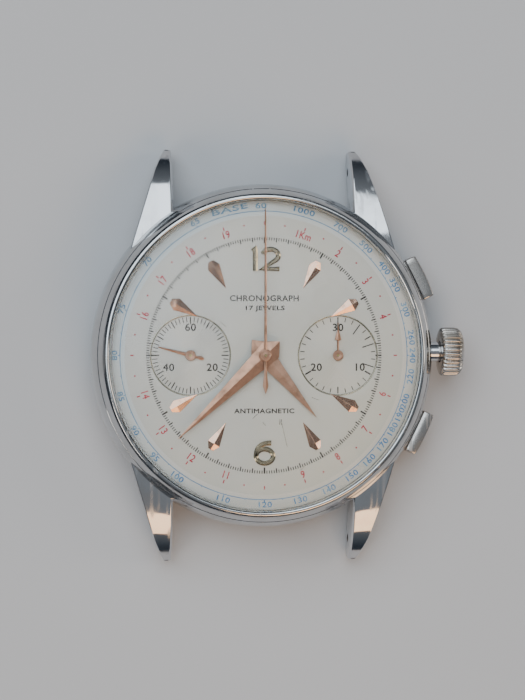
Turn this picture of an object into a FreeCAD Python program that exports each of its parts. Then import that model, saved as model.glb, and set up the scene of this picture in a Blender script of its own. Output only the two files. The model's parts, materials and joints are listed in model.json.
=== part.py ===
import FreeCAD
import Part
import Sketcher
import math
import os
import re

# A wrist chronograph head: round steel case with four lugs, a crown, two pushers, a three
# register dial and a hand wound movement with its chronograph work on the back.
# Millimetres.  The origin is the middle of the case back; +X points at three o'clock,
# +Y at twelve o'clock and +Z at the crystal.

V = FreeCAD.Vector
doc = FreeCAD.newDocument("wrist_chronograph")
sheet = doc.addObject("Spreadsheet::Sheet", "size")

SIZES = [
    # movement and its thicknesses, counted from the case back
    ("movement_radius", 15.5), ("movement_gap", 0.1),
    ("back_thickness", 0.8), ("back_flat_radius", 14.0), ("back_dish", 1.1),
    ("back_gap", 0.25), ("chrono_room", 1.85), ("bridge_thickness", 1.0), ("train_room", 1.7),
    ("plate_thickness", 1.4), ("bridge_inset", 0.3),
    # case
    ("ledge_width", 1.7), ("dial_gap", 0.1), ("collar_width", 0.22), ("collar_height", 1.1),
    ("case_wall", 1.48), ("shoulder_drop", 0.65), ("foot_inset", 0.9), ("rim_radial", 0.55),
    ("rim_height", 0.8), ("case_shoulder", 0.8), ("seal_gap", 0.02), ("bezel_slope", 0.57),
    ("bezel_height", 1.65), ("crystal_lip", 0.38), ("crystal_wall", 0.57), ("crystal_edge", 1.85),
    ("crystal_rise", 2.65), ("crystal_thickness", 1.0), ("crystal_flange", 0.65),
    # lugs and strap bars
    ("strap_width", 20.0), ("lug_reach", 22.95), ("lug_outer_reach", 20.5), ("lug_outer_half", 11.95),
    ("lug_root_half", 14.75), ("lug_root", 12.0), ("lug_tip_half", 10.75), ("bar_reach", 20.6),
    ("bar_height", 1.9), ("bar_hole_radius", 0.5), ("lug_top", 6.75), ("lug_tip_height", 2.3),
    # crown and stem
    ("stem_offset", 0.4), ("stem_drop", 0.9), ("stem_radius", 0.6), ("stem_neck_radius", 0.35),
    ("stem_square_radius", 0.46), ("stem_clearance", 0.04), ("crown_radius", 2.72),
    ("crown_length", 2.5), ("crown_gap", 1.0), ("crown_shoulder", 0.55), ("crown_bore", 1.2),
    ("crown_flutes", 32), ("flute_radius", 0.13), ("tube_radius", 1.1), ("tube_reach", 0.8),
    ("pull_travel", 0.7),
    # pushers
    ("pusher_angle", 26.0), ("pusher_drop", 2.0), ("pusher_width", 4.9), ("pusher_height", 2.6),
    ("pusher_depth", 1.35), ("pusher_gap", 0.15), ("pusher_travel", 0.8), ("pusher_rod", 0.55),
    ("pusher_tube", 0.95), ("pusher_clearance", 0.05), ("spring_wire", 0.09), ("spring_radius", 0.77),
    ("spring_turns", 4),
    # dial
    ("dial_thickness", 0.4), ("register_offset", 8.1), ("register_radius", 4.3),
    ("register_depth", 0.08), ("dial_hole", 1.0), ("marker_inner", 8.5), ("marker_outer", 11.85),
    ("marker_wide", 1.45), ("marker_widest", 11.1), ("marker_height", 0.24),
    ("numeral_height", 2.46), ("numeral_reach", 10.5), ("numeral_stroke", 0.62), ("foot_radius", 0.35),
    # hands
    ("hour_hand", 8.8), ("minute_hand", 13.1), ("sweep_hand", 16.1), ("sweep_tail", 4.2),
    ("hour_hand_width", 2.3), ("minute_hand_width", 2.4), ("hand_heel", 2.2), ("hand_thickness", 0.12),
    ("small_hand", 3.7), ("small_hub", 0.6), ("hour_angle", 140.0), ("minute_angle", 226.3),
    ("small_angle", 284.4), ("hand_rise", 0.45),
    # pivots
    ("jewel_radius", 0.5), ("jewel_thickness", 0.3), ("pivot_radius", 0.1), ("arbor_radius", 0.16),
    ("running_gap", 0.02), ("centre_arbor", 0.4), ("centre_bore", 0.21), ("sweep_arbor", 0.16),
    ("cannon_radius", 0.58), ("pipe_radius", 0.85),
    # going train
    ("going_module", 0.12), ("centre_teeth", 80), ("third_leaves", 10), ("fourth_module", 0.10),
    ("third_teeth", 75), ("fourth_leaves", 10), ("escape_module", 0.085), ("fourth_teeth", 80),
    ("escape_leaves", 8), ("barrel_module", 0.165), ("barrel_teeth", 78), ("centre_leaves", 12),
    ("barrel_angle", 58.0), ("escape_angle", 98.0), ("wheel_thickness", 0.14),
    ("escape_radius", 2.4), ("escape_points", 15), ("pallet_distance", 2.85),
    ("balance_x", -4.4), ("balance_y", -9.4), ("balance_radius", 4.75), ("balance_rim", 0.55),
    ("balance_rim_height", 0.7), ("roller_radius", 0.8), ("jewel_pin", 0.09),
    # winding and setting
    ("winding_module", 0.14), ("ratchet_teeth", 66), ("winding_wheel_teeth", 30),
    ("crown_wheel_teeth", 32), ("crown_wheel_x", 13.1), ("winding_wheel_height", 0.4),
    ("winding_pinion_radius", 1.25), ("winding_pinion_teeth", 15), ("face_ring", 1.9),
    ("clutch_radius", 1.15), ("clutch_shift", 0.6), ("motion_module", 0.13), ("cannon_leaves", 12),
    ("minute_wheel_teeth", 36), ("minute_wheel_leaves", 10), ("hour_wheel_teeth", 40),
    ("minute_wheel_angle", 45.0), ("setting_teeth", 26), ("setting_idler_teeth", 16),
    ("setting_x", 7.95), ("setting_y", 2.2),
    # chronograph work
    ("chrono_module", 0.05), ("chrono_teeth", 120), ("coupling_teeth", 42), ("counter_module", 0.12),
    ("counter_teeth", 30), ("counter_idler_teeth", 28), ("finger_reach", 3.0), ("heart_radius", 0.9),
    ("lever_thickness", 0.24),
    # fixings
    ("pillar_radius", 0.8), ("screw_radius", 0.35), ("screw_head_radius", 0.65),
    ("screw_head_height", 0.28), ("screw_slot", 0.16), ("screw_slot_depth", 0.14),
]
for row, (name, number) in enumerate(SIZES, 1):
    sheet.set(f"A{row}", name)
    sheet.set(f"B{row}", str(number))
    sheet.setAlias(f"B{row}", name)
doc.recompute()
NAMES = {name for name, _ in SIZES}


# ---------------------------------------------------------------- linking sizes

def linked(text):
    """An expression in size names, written the way the document reads it."""
    return re.sub(r"[a-z][a-z_]*[a-z]",
                  lambda word: "size." + word.group(0) if word.group(0) in NAMES else word.group(0),
                  str(text))


def number(text):
    """The present value of an expression in size names."""
    found = sheet.evalExpression(linked(text))
    return float(getattr(found, "Value", found))


def bind(item, **sizes):
    """Keep properties of an object equal to expressions; a double underscore stands for a dot."""
    for name, text in sizes.items():
        item.setExpression(name.replace("__", "."), linked(text))
    return item


def meeting(ax, ay, reach_a, bx, by, reach_b, side):
    """Expressions for the point reach_a from A and reach_b from B, left (+1) or right (-1) of A to B."""
    dx, dy = f"(({bx})-({ax}))", f"(({by})-({ay}))"
    square = f"({dx}^2+{dy}^2)"
    along = f"((({reach_a})^2-({reach_b})^2+{square})/(2*{square}))"
    across = f"(sqrt(({reach_a})^2/{square}-{along}^2)*({side}))"
    return (f"(({ax})+{dx}*{along}-{dy}*{across})", f"(({ay})+{dy}*{along}+{dx}*{across})")


def polar(reach, angle, x="0", y="0"):
    """Expressions for a point at a distance and an anticlockwise angle from another point."""
    return f"(({x})+({reach})*cos({angle}))", f"(({y})+({reach})*sin({angle}))"


# ---------------------------------------------------------------- levels and positions

back_inside = "back_thickness"
chrono_floor = f"({back_inside}+back_gap)"
bridge_bottom = f"({chrono_floor}+chrono_room)"
bridge_top = f"({bridge_bottom}+bridge_thickness)"
plate_bottom = f"({bridge_top}+train_room)"
plate_top = f"({plate_bottom}+plate_thickness)"
dial_top = f"({plate_top}+dial_thickness)"
stem_z = f"({plate_bottom}-stem_drop)"
pusher_z = f"({plate_bottom}-pusher_drop)"
bore = "(movement_radius+movement_gap)"
dial_radius = "(movement_radius+ledge_width)"
dial_seat = f"({dial_radius}+dial_gap)"
collar = f"({dial_seat}+collar_width)"
case_radius = f"({collar}+case_wall)"
case_top = f"({plate_top}+0.6)"
case_foot = f"({back_inside}+0.8)"
rim_radius = f"({dial_radius}-0.2)"
crystal_radius = f"({dial_seat}-crystal_lip-0.04)"
crown_face = f"({case_radius}+crown_gap)"
recess = f"({plate_bottom}+0.35)"
bridge_edge = "(movement_radius-bridge_inset)"

centre_wheel_radius = "(centre_teeth*going_module/2)"
third_pinion_radius = "(third_leaves*going_module/2)"
third_wheel_radius = "(third_teeth*fourth_module/2)"
fourth_pinion_radius = "(fourth_leaves*fourth_module/2)"
fourth_wheel_radius = "(fourth_teeth*escape_module/2)"
escape_pinion_radius = "(escape_leaves*escape_module/2)"
barrel_radius = "(barrel_teeth*barrel_module/2)"
centre_pinion_radius = "(centre_leaves*barrel_module/2)"
ratchet_radius = "(ratchet_teeth*winding_module/2)"
winding_wheel_radius = "(winding_wheel_teeth*winding_module/2)"
crown_wheel_radius = "(crown_wheel_teeth*winding_module/2)"
minute_wheel_radius = "(minute_wheel_teeth*motion_module/2)"
cannon_leaf_radius = "(cannon_leaves*motion_module/2)"
motion_distance = f"({minute_wheel_radius}+{cannon_leaf_radius})"
hour_module = f"(2*{motion_distance}/(minute_wheel_leaves+hour_wheel_teeth))"
setting_radius = "(setting_teeth*motion_module/2)"
idler_radius = "(setting_idler_teeth*motion_module/2)"
chrono_radius = "(chrono_teeth*chrono_module/2)"
coupling_radius = "(coupling_teeth*chrono_module/2)"
counter_radius = "(counter_teeth*counter_module/2)"
counter_idler_radius = "(counter_idler_teeth*counter_module/2)"

CENTRE = ("0", "0")
FOURTH = ("(0-register_offset)", "0")
MINUTES = ("register_offset", "0")
THIRD = meeting(*CENTRE, f"{centre_wheel_radius}+{third_pinion_radius}",
                *FOURTH, f"{third_wheel_radius}+{fourth_pinion_radius}", 1)
BARREL = polar(f"({barrel_radius}+{centre_pinion_radius})", "barrel_angle")
ESCAPE = polar(f"({fourth_wheel_radius}+{escape_pinion_radius})", "(0-escape_angle)", *FOURTH)
BALANCE = ("balance_x", "balance_y")
to_balance = f"sqrt((balance_x-{ESCAPE[0]})^2+(balance_y-{ESCAPE[1]})^2)"
PALLET = (f"({ESCAPE[0]}+(balance_x-{ESCAPE[0]})*pallet_distance/{to_balance})",
          f"({ESCAPE[1]}+(balance_y-{ESCAPE[1]})*pallet_distance/{to_balance})")
CROWN_WHEEL = ("crown_wheel_x", "stem_offset")
WINDING_WHEEL = meeting(*CROWN_WHEEL, f"{crown_wheel_radius}+{winding_wheel_radius}",
                        *BARREL, f"{ratchet_radius}+{winding_wheel_radius}", -1)
MINUTE_WHEEL = polar(motion_distance, "minute_wheel_angle")
SETTING = ("setting_x", "setting_y")
IDLER = meeting(*MINUTE_WHEEL, f"{minute_wheel_radius}+{idler_radius}",
                *SETTING, f"{setting_radius}+{idler_radius}", 1)
COUPLING = (f"(0-{chrono_radius}-{coupling_radius}-0.06)", "0")
COUNTER = meeting(*CENTRE, f"finger_reach+{counter_idler_radius}+0.17",
                  *MINUTES, f"{counter_radius}+{counter_idler_radius}", -1)


# ---------------------------------------------------------------- solid bodies from drawings

TAKEN = []      # (feature that removes metal, the feature before it)


class Piece:
    """One body, built up from drawings on its own three planes."""

    def __init__(self, name):
        self.body = doc.addObject("PartDesign::Body", name)
        self.body.Label = name
        self.count = 0

    def drawing(self, plane, level):
        self.count += 1
        drawn = self.body.newObject("Sketcher::SketchObject", f"{self.body.Name}_drawing_{self.count}")
        role = [o for o in self.body.Origin.OriginFeatures if o.Role == plane + "_Plane"][0]
        drawn.AttachmentSupport = (role, [""])
        drawn.MapMode = "FlatFace"
        bind(drawn, AttachmentOffset__Base__z=level)
        return drawn

    def fix(self, drawn, kind, *place, text):
        index = drawn.addConstraint(Sketcher.Constraint(kind, *place, number(text)))
        drawn.setExpression(f"Constraints[{index}]", linked(text))

    def outline(self, drawn, corners):
        """A closed outline.  A corner is (x, y), or (x, y, radius, side) where an arc starts there."""
        spots = [(number(c[0]), number(c[1])) for c in corners]
        total, first, ends = len(corners), len(drawn.Geometry), []
        for i, corner in enumerate(corners):
            (x0, y0), (x1, y1) = spots[i], spots[(i + 1) % total]
            if len(corner) == 2:
                drawn.addGeometry(Part.LineSegment(V(x0, y0, 0), V(x1, y1, 0)), False)
                ends.append((1, 2))
                continue
            radius = number(corner[2])
            span = math.hypot(x1 - x0, y1 - y0)
            depth = math.sqrt(radius ** 2 - span ** 2 / 4) * corner[3]
            cx, cy = (x0 + x1) / 2 - (y1 - y0) / span * depth, (y0 + y1) / 2 + (x1 - x0) / span * depth
            a0, a1 = math.atan2(y0 - cy, x0 - cx), math.atan2(y1 - cy, x1 - cx)
            forward = (x0 - cx) * (y1 - cy) - (y0 - cy) * (x1 - cx) > 0
            start, stop = (a0, a1) if forward else (a1, a0)
            if stop < start:
                stop += 2 * math.pi
            drawn.addGeometry(Part.ArcOfCircle(Part.Circle(V(cx, cy, 0), V(0, 0, 1), radius),
                                               start, stop), False)
            ends.append((1, 2) if forward else (2, 1))
        for i in range(total):
            after = (i + 1) % total
            drawn.addConstraint(Sketcher.Constraint("Coincident", first + i, ends[i][1],
                                                    first + after, ends[after][0]))
        for i, corner in enumerate(corners):
            self.fix(drawn, "DistanceX", -1, 1, first + i, ends[i][0], text=corner[0])
            self.fix(drawn, "DistanceY", -1, 1, first + i, ends[i][0], text=corner[1])
            if len(corner) > 2:
                self.fix(drawn, "Radius", first + i, text=corner[2])

    def fill(self, drawn, outlines, circles):
        for corners in outlines:
            self.outline(drawn, corners)
        for x, y, radius in circles:
            index = drawn.addGeometry(Part.Circle(V(number(x), number(y), 0), V(0, 0, 1),
                                                  number(radius)), False)
            self.fix(drawn, "DistanceX", -1, 1, index, 3, text=x)
            self.fix(drawn, "DistanceY", -1, 1, index, 3, text=y)
            self.fix(drawn, "Radius", index, text=radius)
        return drawn

    def add(self, bottom, top, outlines=(), circles=(), plane="XY"):
        pad = self.body.newObject("PartDesign::Pad", f"{self.body.Name}_pad")
        before = self.body.Tip
        pad.Profile = self.fill(self.drawing(plane, bottom), outlines, circles)
        bind(pad, Length=f"({top})-({bottom})")
        self.body.Tip = pad
        return self

    def take(self, bottom, top, outlines=(), circles=(), plane="XY"):
        before = self.body.Tip
        pocket = self.body.newObject("PartDesign::Pocket", f"{self.body.Name}_pocket")
        pocket.Profile = self.fill(self.drawing(plane, top), outlines, circles)
        bind(pocket, Length=f"({top})-({bottom})")
        self.body.Tip = pocket
        TAKEN.append((pocket, before))
        return self

    def turn(self, profile, axis="V_Axis"):
        """Add the solid swept by a profile of (distance, height), turned about the body's Z axis."""
        drawn = self.fill(self.drawing("XZ", "0"), [profile], ())
        turned = self.body.newObject("PartDesign::Revolution", f"{self.body.Name}_turned")
        turned.Profile, turned.ReferenceAxis, turned.Angle = drawn, (drawn, [axis]), 360
        self.body.Tip = turned
        return self

    def groove(self, profile, axis="V_Axis"):
        before = self.body.Tip
        drawn = self.fill(self.drawing("XZ", "0"), [profile], ())
        cut = self.body.newObject("PartDesign::Groove", f"{self.body.Name}_groove")
        cut.Profile, cut.ReferenceAxis, cut.Angle = drawn, (drawn, [axis]), 360
        self.body.Tip = cut
        TAKEN.append((cut, before))
        return self

    def seat(self, x="0", y="0", z="0", angle=None):
        if angle is not None:
            self.body.Placement = FreeCAD.Placement(V(0, 0, 0), FreeCAD.Rotation(V(0, 0, 1), number(angle)))
            bind(self.body, Placement__Rotation__Angle=angle)
        bind(self.body, Placement__Base__x=x, Placement__Base__y=y, Placement__Base__z=z)
        return self


def box(x0, x1, y0, y1):
    return [(x0, y0), (x1, y0), (x1, y1), (x0, y1)]


# ---------------------------------------------------------------- solids from primitives

def round_bar(x, y, bottom, top, radius):
    bar = doc.addObject("Part::Cylinder", "round_bar")
    return bind(bar, Radius=radius, Height=f"({top})-({bottom})", Placement__Base__x=x,
                Placement__Base__y=y, Placement__Base__z=bottom)


def raised(flat, x, y, bottom, top):
    """A flat shape drawn around the origin, moved to a place and given a height."""
    drawn = doc.addObject("Part::Feature", "outline")
    drawn.Shape = flat
    lifted = doc.addObject("Part::Extrusion", "raised")
    lifted.Base, lifted.DirMode, lifted.Dir, lifted.Solid = drawn, "Custom", V(0, 0, 1), True
    return bind(lifted, LengthFwd=f"({top})-({bottom})", Placement__Base__x=x,
                Placement__Base__y=y, Placement__Base__z=bottom)


def closed(points):
    return Part.Face(Part.makePolygon([V(x, y, 0) for x, y in points + points[:1]]))


def at(radius, angle):
    return radius * math.cos(angle), radius * math.sin(angle)


def toothed(teeth, module, phase=0.0, thick=0.42, top=0.9, root=1.3):
    """A spur outline: each tooth has a root, a flank, a rounded shoulder and a narrow top."""
    teeth, module = int(round(teeth)), float(module)
    pitch, step = teeth * module / 2, 2 * math.pi / teeth
    points = []
    for i in range(teeth):
        middle = phase + i * step
        half = thick * step / 2
        for radius, spread in ((pitch - root * module, -1.05), (pitch, -1.0),
                               (pitch + 0.6 * top * module, -0.66), (pitch + top * module, -0.2),
                               (pitch + top * module, 0.2), (pitch + 0.6 * top * module, 0.66),
                               (pitch, 1.0), (pitch - root * module, 1.05)):
            points.append(at(radius, middle + spread * half))
    return closed(points)


def hooked(teeth, tip, root, lean, phase=0.0):
    """A ring of pointed teeth that all lean one way."""
    step, points = 2 * math.pi / teeth, []
    for i in range(int(teeth)):
        middle = phase + i * step
        points += [at(root, middle - 0.30 * step), at(tip, middle + lean * step),
                   at(tip, middle + (lean + 0.07) * step), at(root, middle + 0.05 * step)]
    return closed(points)


def window(start, stop, inner, outer, spoke):
    """One opening between two spokes of a wheel, with its spokes of even width."""
    def edge(radius, angle, side):
        return V(*at(radius, angle + side * math.asin(spoke / 2 / radius)), 0)
    a, b = edge(outer, start, 1), edge(outer, stop, -1)
    c, d = edge(inner, stop, -1), edge(inner, start, 1)
    middle = (start + stop) / 2
    return Part.Face(Part.Wire([
        Part.Arc(a, V(*at(outer, middle), 0), b).toShape(), Part.LineSegment(b, c).toShape(),
        Part.Arc(c, V(*at(inner, middle), 0), d).toShape(), Part.LineSegment(d, a).toShape()]))


def joined(name, parts):
    whole = doc.addObject("Part::MultiFuse", name)
    whole.Shapes = parts
    whole.Label = name
    return whole


def minus(name, base, tools):
    tool = tools[0] if len(tools) == 1 else joined(name + "_removed", tools)
    left = doc.addObject("Part::Cut", name)
    left.Base, left.Tool, left.Label = base, tool, name
    return left


def wheel(name, place, bottom, top, teeth, module, phase=0.0, solid=(), bore=None, spokes=4,
          hub=0.9, rim=0.55, spoke=0.34, thick=0.42):
    """A toothed wheel with spokes; solid lists (bottom, top, radius) cylinders and (bottom, top,
    flat) shapes on the same arbor, and bore is a hole through everything."""
    x, y = place
    pieces = [raised(toothed(number(teeth), number(module), phase, thick), x, y, bottom, top)]
    for low, high, what in solid:
        pieces.append(raised(what, x, y, low, high) if isinstance(what, Part.Shape)
                      else round_bar(x, y, low, high, what))
    radius = number(f"({teeth})*({module})/2")
    tools = []
    if spokes:
        for i in range(spokes):
            flat = window(phase + i * 2 * math.pi / spokes, phase + (i + 1) * 2 * math.pi / spokes,
                          hub, radius - rim, spoke)
            tools.append(raised(flat, x, y, f"({bottom})-0.01", f"({top})+0.01"))
        disc = minus(name + "_disc", pieces[0], tools)
        pieces[0] = disc
    whole = joined(name + "_body" if bore else name, pieces) if len(pieces) > 1 else pieces[0]
    if bore:
        lowest = min([number(bottom)] + [number(s[0]) for s in solid])
        highest = max([number(top)] + [number(s[1]) for s in solid])
        hole = round_bar(x, y, f"{lowest - 1}", f"{highest + 1}", bore)
        whole = minus(name, whole, [hole])
    whole.Label = name
    return whole


def mesh_phase(driver, driver_teeth, driver_phase, driven, driven_teeth):
    """The turn that puts a driven wheel's gap where the driver's tooth is."""
    way = math.atan2(number(driven[1]) - number(driver[1]), number(driven[0]) - number(driver[0]))
    part = ((way - driver_phase) * driver_teeth / (2 * math.pi)) % 1
    return way + math.pi - (0.5 - part) * 2 * math.pi / driven_teeth


def bar_between(ax, ay, bx, by, half_a, half_b):
    """Corners of a tapering bar from A to B with rounded looking ends left square."""
    length = math.hypot(number(f"({bx})-({ax})"), number(f"({by})-({ay})"))
    ux, uy = f"((({bx})-({ax}))/{length:.6f})", f"((({by})-({ay}))/{length:.6f})"
    return [(f"({ax})-{uy}*{half_a}", f"({ay})+{ux}*{half_a}"),
            (f"({ax})+{uy}*{half_a}", f"({ay})-{ux}*{half_a}"),
            (f"({bx})+{uy}*{half_b}", f"({by})-{ux}*{half_b}"),
            (f"({bx})-{uy}*{half_b}", f"({by})+{ux}*{half_b}")]


def lying_bar(angle, start, stop, radius, side="0", level="0"):
    """A round bar pointing outward in the plane of the watch."""
    turned = FreeCAD.Rotation(V(0, 0, 1), number(angle)).multiply(FreeCAD.Rotation(V(0, 1, 0), 90))
    bar = doc.addObject("Part::Cylinder", "lying_bar")
    bar.Placement = FreeCAD.Placement(V(0, 0, 0), turned)
    return bind(bar, Radius=radius, Height=f"({stop})-({start})",
                Placement__Base__x=f"({start})*cos({angle})-({side})*sin({angle})",
                Placement__Base__y=f"({start})*sin({angle})+({side})*cos({angle})",
                Placement__Base__z=level)


def lying_block(angle, start, stop, half, bottom, top):
    block = doc.addObject("Part::Box", "lying_block")
    block.Placement = FreeCAD.Placement(V(0, 0, 0), FreeCAD.Rotation(V(0, 0, 1), number(angle)))
    return bind(block, Length=f"({stop})-({start})", Width=f"2*({half})", Height=f"({top})-({bottom})",
                Placement__Base__x=f"({start})*cos({angle})+({half})*sin({angle})",
                Placement__Base__y=f"({start})*sin({angle})-({half})*cos({angle})",
                Placement__Base__z=bottom)


def along_x(flat, start, stop, y, z):
    """A flat shape drawn around the origin, stood across the X axis and stretched along it."""
    drawn = doc.addObject("Part::Feature", "outline")
    turned = flat.copy()
    turned.rotate(V(0, 0, 0), V(1, 1, 1), 120)
    drawn.Shape = turned
    pulled = doc.addObject("Part::Extrusion", "stretched")
    pulled.Base, pulled.DirMode, pulled.Dir, pulled.Solid = drawn, "Custom", V(1, 0, 0), True
    return bind(pulled, LengthFwd=f"({stop})-({start})", Placement__Base__x=start,
                Placement__Base__y=y, Placement__Base__z=z)


def ring_of_teeth(teeth, inner, outer, share=0.5):
    """Separate face teeth standing in a ring."""
    step, faces = 2 * math.pi / teeth, []
    for i in range(teeth):
        a, b = (i - share / 2) * step, (i + share / 2) * step
        faces.append(closed([at(inner, a), at(outer, a), at(outer, b), at(inner, b)]))
    return Part.makeCompound(faces)


def spiral(inner, outer, turns, thick, per_turn=30):
    """A flat coiled strip."""
    total = int(turns * per_turn)
    out, back = [], []
    for i in range(total + 1):
        angle = 2 * math.pi * i / per_turn
        radius = inner + (outer - inner) * i / total
        out.append(at(radius + thick / 2, angle))
        back.append(at(radius - thick / 2, angle))
    return closed(out + back[::-1])


def heart(radius, angle=0.0):
    """A reset heart: low at the notch and rising evenly to its point on both sides."""
    points = []
    for i in range(49):
        part = abs(i - 24) / 24
        points.append(at(radius * (0.35 + 0.65 * (1 - part)), angle + math.radians(i * 7.5)))
    return closed(points[:-1])


PIECES = {}


def keep(name, item):
    PIECES[name] = item.body if isinstance(item, Piece) else item
    return item


# ---------------------------------------------------------------- case

case_top_radius = f"({case_radius}-shoulder_drop)"
foot_radius_case = f"({case_radius}-foot_inset)"
flank = [(foot_radius_case, case_foot), (f"{case_radius}-0.12", f"{case_foot}+0.9"),
         (case_radius, f"{case_foot}+1.7"), (case_radius, f"{case_top}-2.1"),
         (f"{case_radius}-0.2", f"{case_top}-0.8"), (case_top_radius, case_top)]
ring = Piece("case_ring").turn(flank + [
    (collar, case_top), (collar, f"{plate_top}+collar_height"), (dial_seat, f"{plate_top}+collar_height"),
    (dial_seat, plate_top), (bore, plate_top), (bore, bridge_bottom), (rim_radius, bridge_bottom),
    (rim_radius, case_foot)])
openings = [lying_bar("0", f"{bore}-1", f"{case_radius}+1", "tube_radius", "stem_offset", stem_z)]
for way in ("pusher_angle", "(0-pusher_angle)"):
    openings.append(lying_bar(way, f"{bore}-1", f"{case_radius}+1", "pusher_tube", "0", pusher_z))
    openings.append(lying_block(way, f"{case_radius}-pusher_travel", f"{case_radius}+1",
                                "(pusher_width/2+0.08)", f"{pusher_z}-pusher_height/2-0.08",
                                f"{pusher_z}+pusher_height/2+0.08"))
keep("case_band", minus("case_band", ring.body, openings))

lugs = Piece("lugs")
half_strap = "(strap_width/2)"
plans = []
for sx in ("", "0-"):
    for sy in ("", "0-"):
        plans.append([(f"{sx}{x}", f"{sy}{y}") for x, y in (
            (half_strap, "(lug_root-4)"), ("(lug_root_half-4)", "(lug_root-4)"),
            ("lug_root_half", "lug_root"), ("lug_outer_half", "lug_outer_reach"),
            ("lug_tip_half", "lug_reach"), (half_strap, "lug_reach"))])
lugs.add("0", "lug_top+0.5", plans)
for sign in ("", "0-"):
    lugs.take("0-25", "25", [[(f"{sign}(lug_root-3)", "lug_top"), (f"{sign}(lug_root+4.3)", "lug_top-0.5"),
                              (f"{sign}lug_outer_reach", "lug_top-1.9"),
                              (f"{sign}(lug_reach-0.7)", "lug_tip_height+1.1"),
                              (f"{sign}(lug_reach+0.2)", "lug_tip_height"),
                              (f"{sign}(lug_reach+2)", "lug_tip_height"),
                              (f"{sign}(lug_reach+2)", "lug_top+2"),
                              (f"{sign}(lug_root-3)", "lug_top+2")]], plane="YZ")
    lugs.take("0-25", "25", [[(f"{sign}(lug_root-3)", "2.0"), (f"{sign}(lug_root+5)", "1.7"),
                              (f"{sign}(bar_reach-0.8)", "bar_height-1.15"),
                              (f"{sign}(lug_reach-1)", "0.35"), (f"{sign}(lug_reach+0.2)", "0.7"),
                              (f"{sign}(lug_reach+2)", "0-2"), (f"{sign}(lug_root-3)", "0-2")]],
              plane="YZ")
lugs.take("0-25", "25", circles=[("bar_reach", "bar_height", "bar_hole_radius"),
                                 ("0-bar_reach", "bar_height", "bar_hole_radius")], plane="YZ")
lugs.groove([("0", "0-1"), (foot_radius_case, "0-1")] + flank + [(case_top_radius, "12"), ("0", "12")])
keep("lugs", lugs)

bezel_in = f"({crystal_radius}+0.03)"
bezel_top = f"({case_top}+bezel_height)"
keep("bezel", Piece("bezel").turn([
    (f"{collar}+seal_gap", case_top), (case_top_radius, case_top), (case_top_radius, f"{case_top}+0.35"),
    (f"{case_top_radius}-bezel_slope", f"{bezel_top}-0.35"), (f"{crystal_radius}+0.45", bezel_top),
    (bezel_in, f"{bezel_top}-0.12"), (bezel_in, f"{plate_top}+collar_height+0.02"),
    (f"{collar}+seal_gap", f"{plate_top}+collar_height+0.02")]))

crystal_foot = f"({dial_top}+0.02)"
crystal_inside = f"({crystal_radius}-crystal_wall)"
crystal_edge_top = f"({crystal_foot}+crystal_edge)"
dome = f"(({crystal_radius}^2+crystal_rise^2)/(2*crystal_rise))"
inner_rise = "(crystal_rise+0.37-crystal_thickness)"
inner_dome = f"(({crystal_inside}^2+{inner_rise}^2)/(2*{inner_rise}))"
keep("crystal", Piece("crystal").turn([
    (crystal_inside, crystal_foot), (f"{dial_seat}-seal_gap", crystal_foot),
    (f"{dial_seat}-seal_gap", f"{crystal_foot}+crystal_flange"),
    (crystal_radius, f"{crystal_foot}+crystal_flange"),
    (crystal_radius, crystal_edge_top, dome, 1),
    ("0", f"{crystal_edge_top}+crystal_rise"), ("0", f"{crystal_edge_top}+crystal_rise-crystal_thickness",
                                                inner_dome, -1),
    (crystal_inside, f"{crystal_edge_top}-0.37")]))

keep("case_back", Piece("case_back").turn([
    ("0", "0"), ("back_flat_radius", "0"), (f"{foot_radius_case}-0.2", f"{case_foot}-0.4"),
    (f"{foot_radius_case}-0.2", case_foot), (f"{rim_radius}-seal_gap", case_foot),
    (f"{rim_radius}-seal_gap", f"{case_foot}+rim_height"),
    (f"{rim_radius}-rim_radial", f"{case_foot}+rim_height"), (f"{rim_radius}-0.7", f"{case_foot}-0.1"),
    ("back_flat_radius", back_inside), ("0", back_inside)]))

tubes = []
for way, side, level, outer, inner, start, stop in (
        ("0", "stem_offset", stem_z, "tube_radius", "(stem_radius+stem_clearance)", f"{bore}+0.05",
         f"{crown_face}+tube_reach"),
        ("pusher_angle", "0", pusher_z, "pusher_tube", "(pusher_rod+pusher_clearance)", f"{bore}+0.05",
         f"{case_radius}-pusher_travel-0.2"),
        ("(0-pusher_angle)", "0", pusher_z, "pusher_tube", "(pusher_rod+pusher_clearance)",
         f"{bore}+0.05", f"{case_radius}-pusher_travel-0.2")):
    tubes.append(minus("case_tube", lying_bar(way, start, stop, outer, side, level),
                       [lying_bar(way, f"{start}-1", f"{stop}+1", inner, side, level)]))
keep("case_tubes", joined("case_tubes", tubes))

# ---------------------------------------------------------------- crown, stem and pushers

crown = Piece("crown").turn([
    ("crown_length-0.5", "0"), ("crown_length-0.5", "stem_radius"), ("1.3", "stem_radius"),
    ("1.3", "crown_bore"), ("0", "crown_bore"), ("0", "crown_radius-0.27"), ("0.2", "crown_radius"),
    ("crown_length-crown_shoulder", "crown_radius"), ("crown_length", "crown_radius-crown_shoulder"),
    ("crown_length+0.12", "0")], axis="H_Axis")
flutes = [(f"(crown_radius+0.03)*cos({i}*360/crown_flutes)", f"(crown_radius+0.03)*sin({i}*360/crown_flutes)",
           "flute_radius") for i in range(int(number("crown_flutes")))]
crown.take("0-1", "crown_length+1", circles=flutes, plane="YZ")
keep("crown", crown.seat(crown_face, "stem_offset", stem_z))

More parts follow.
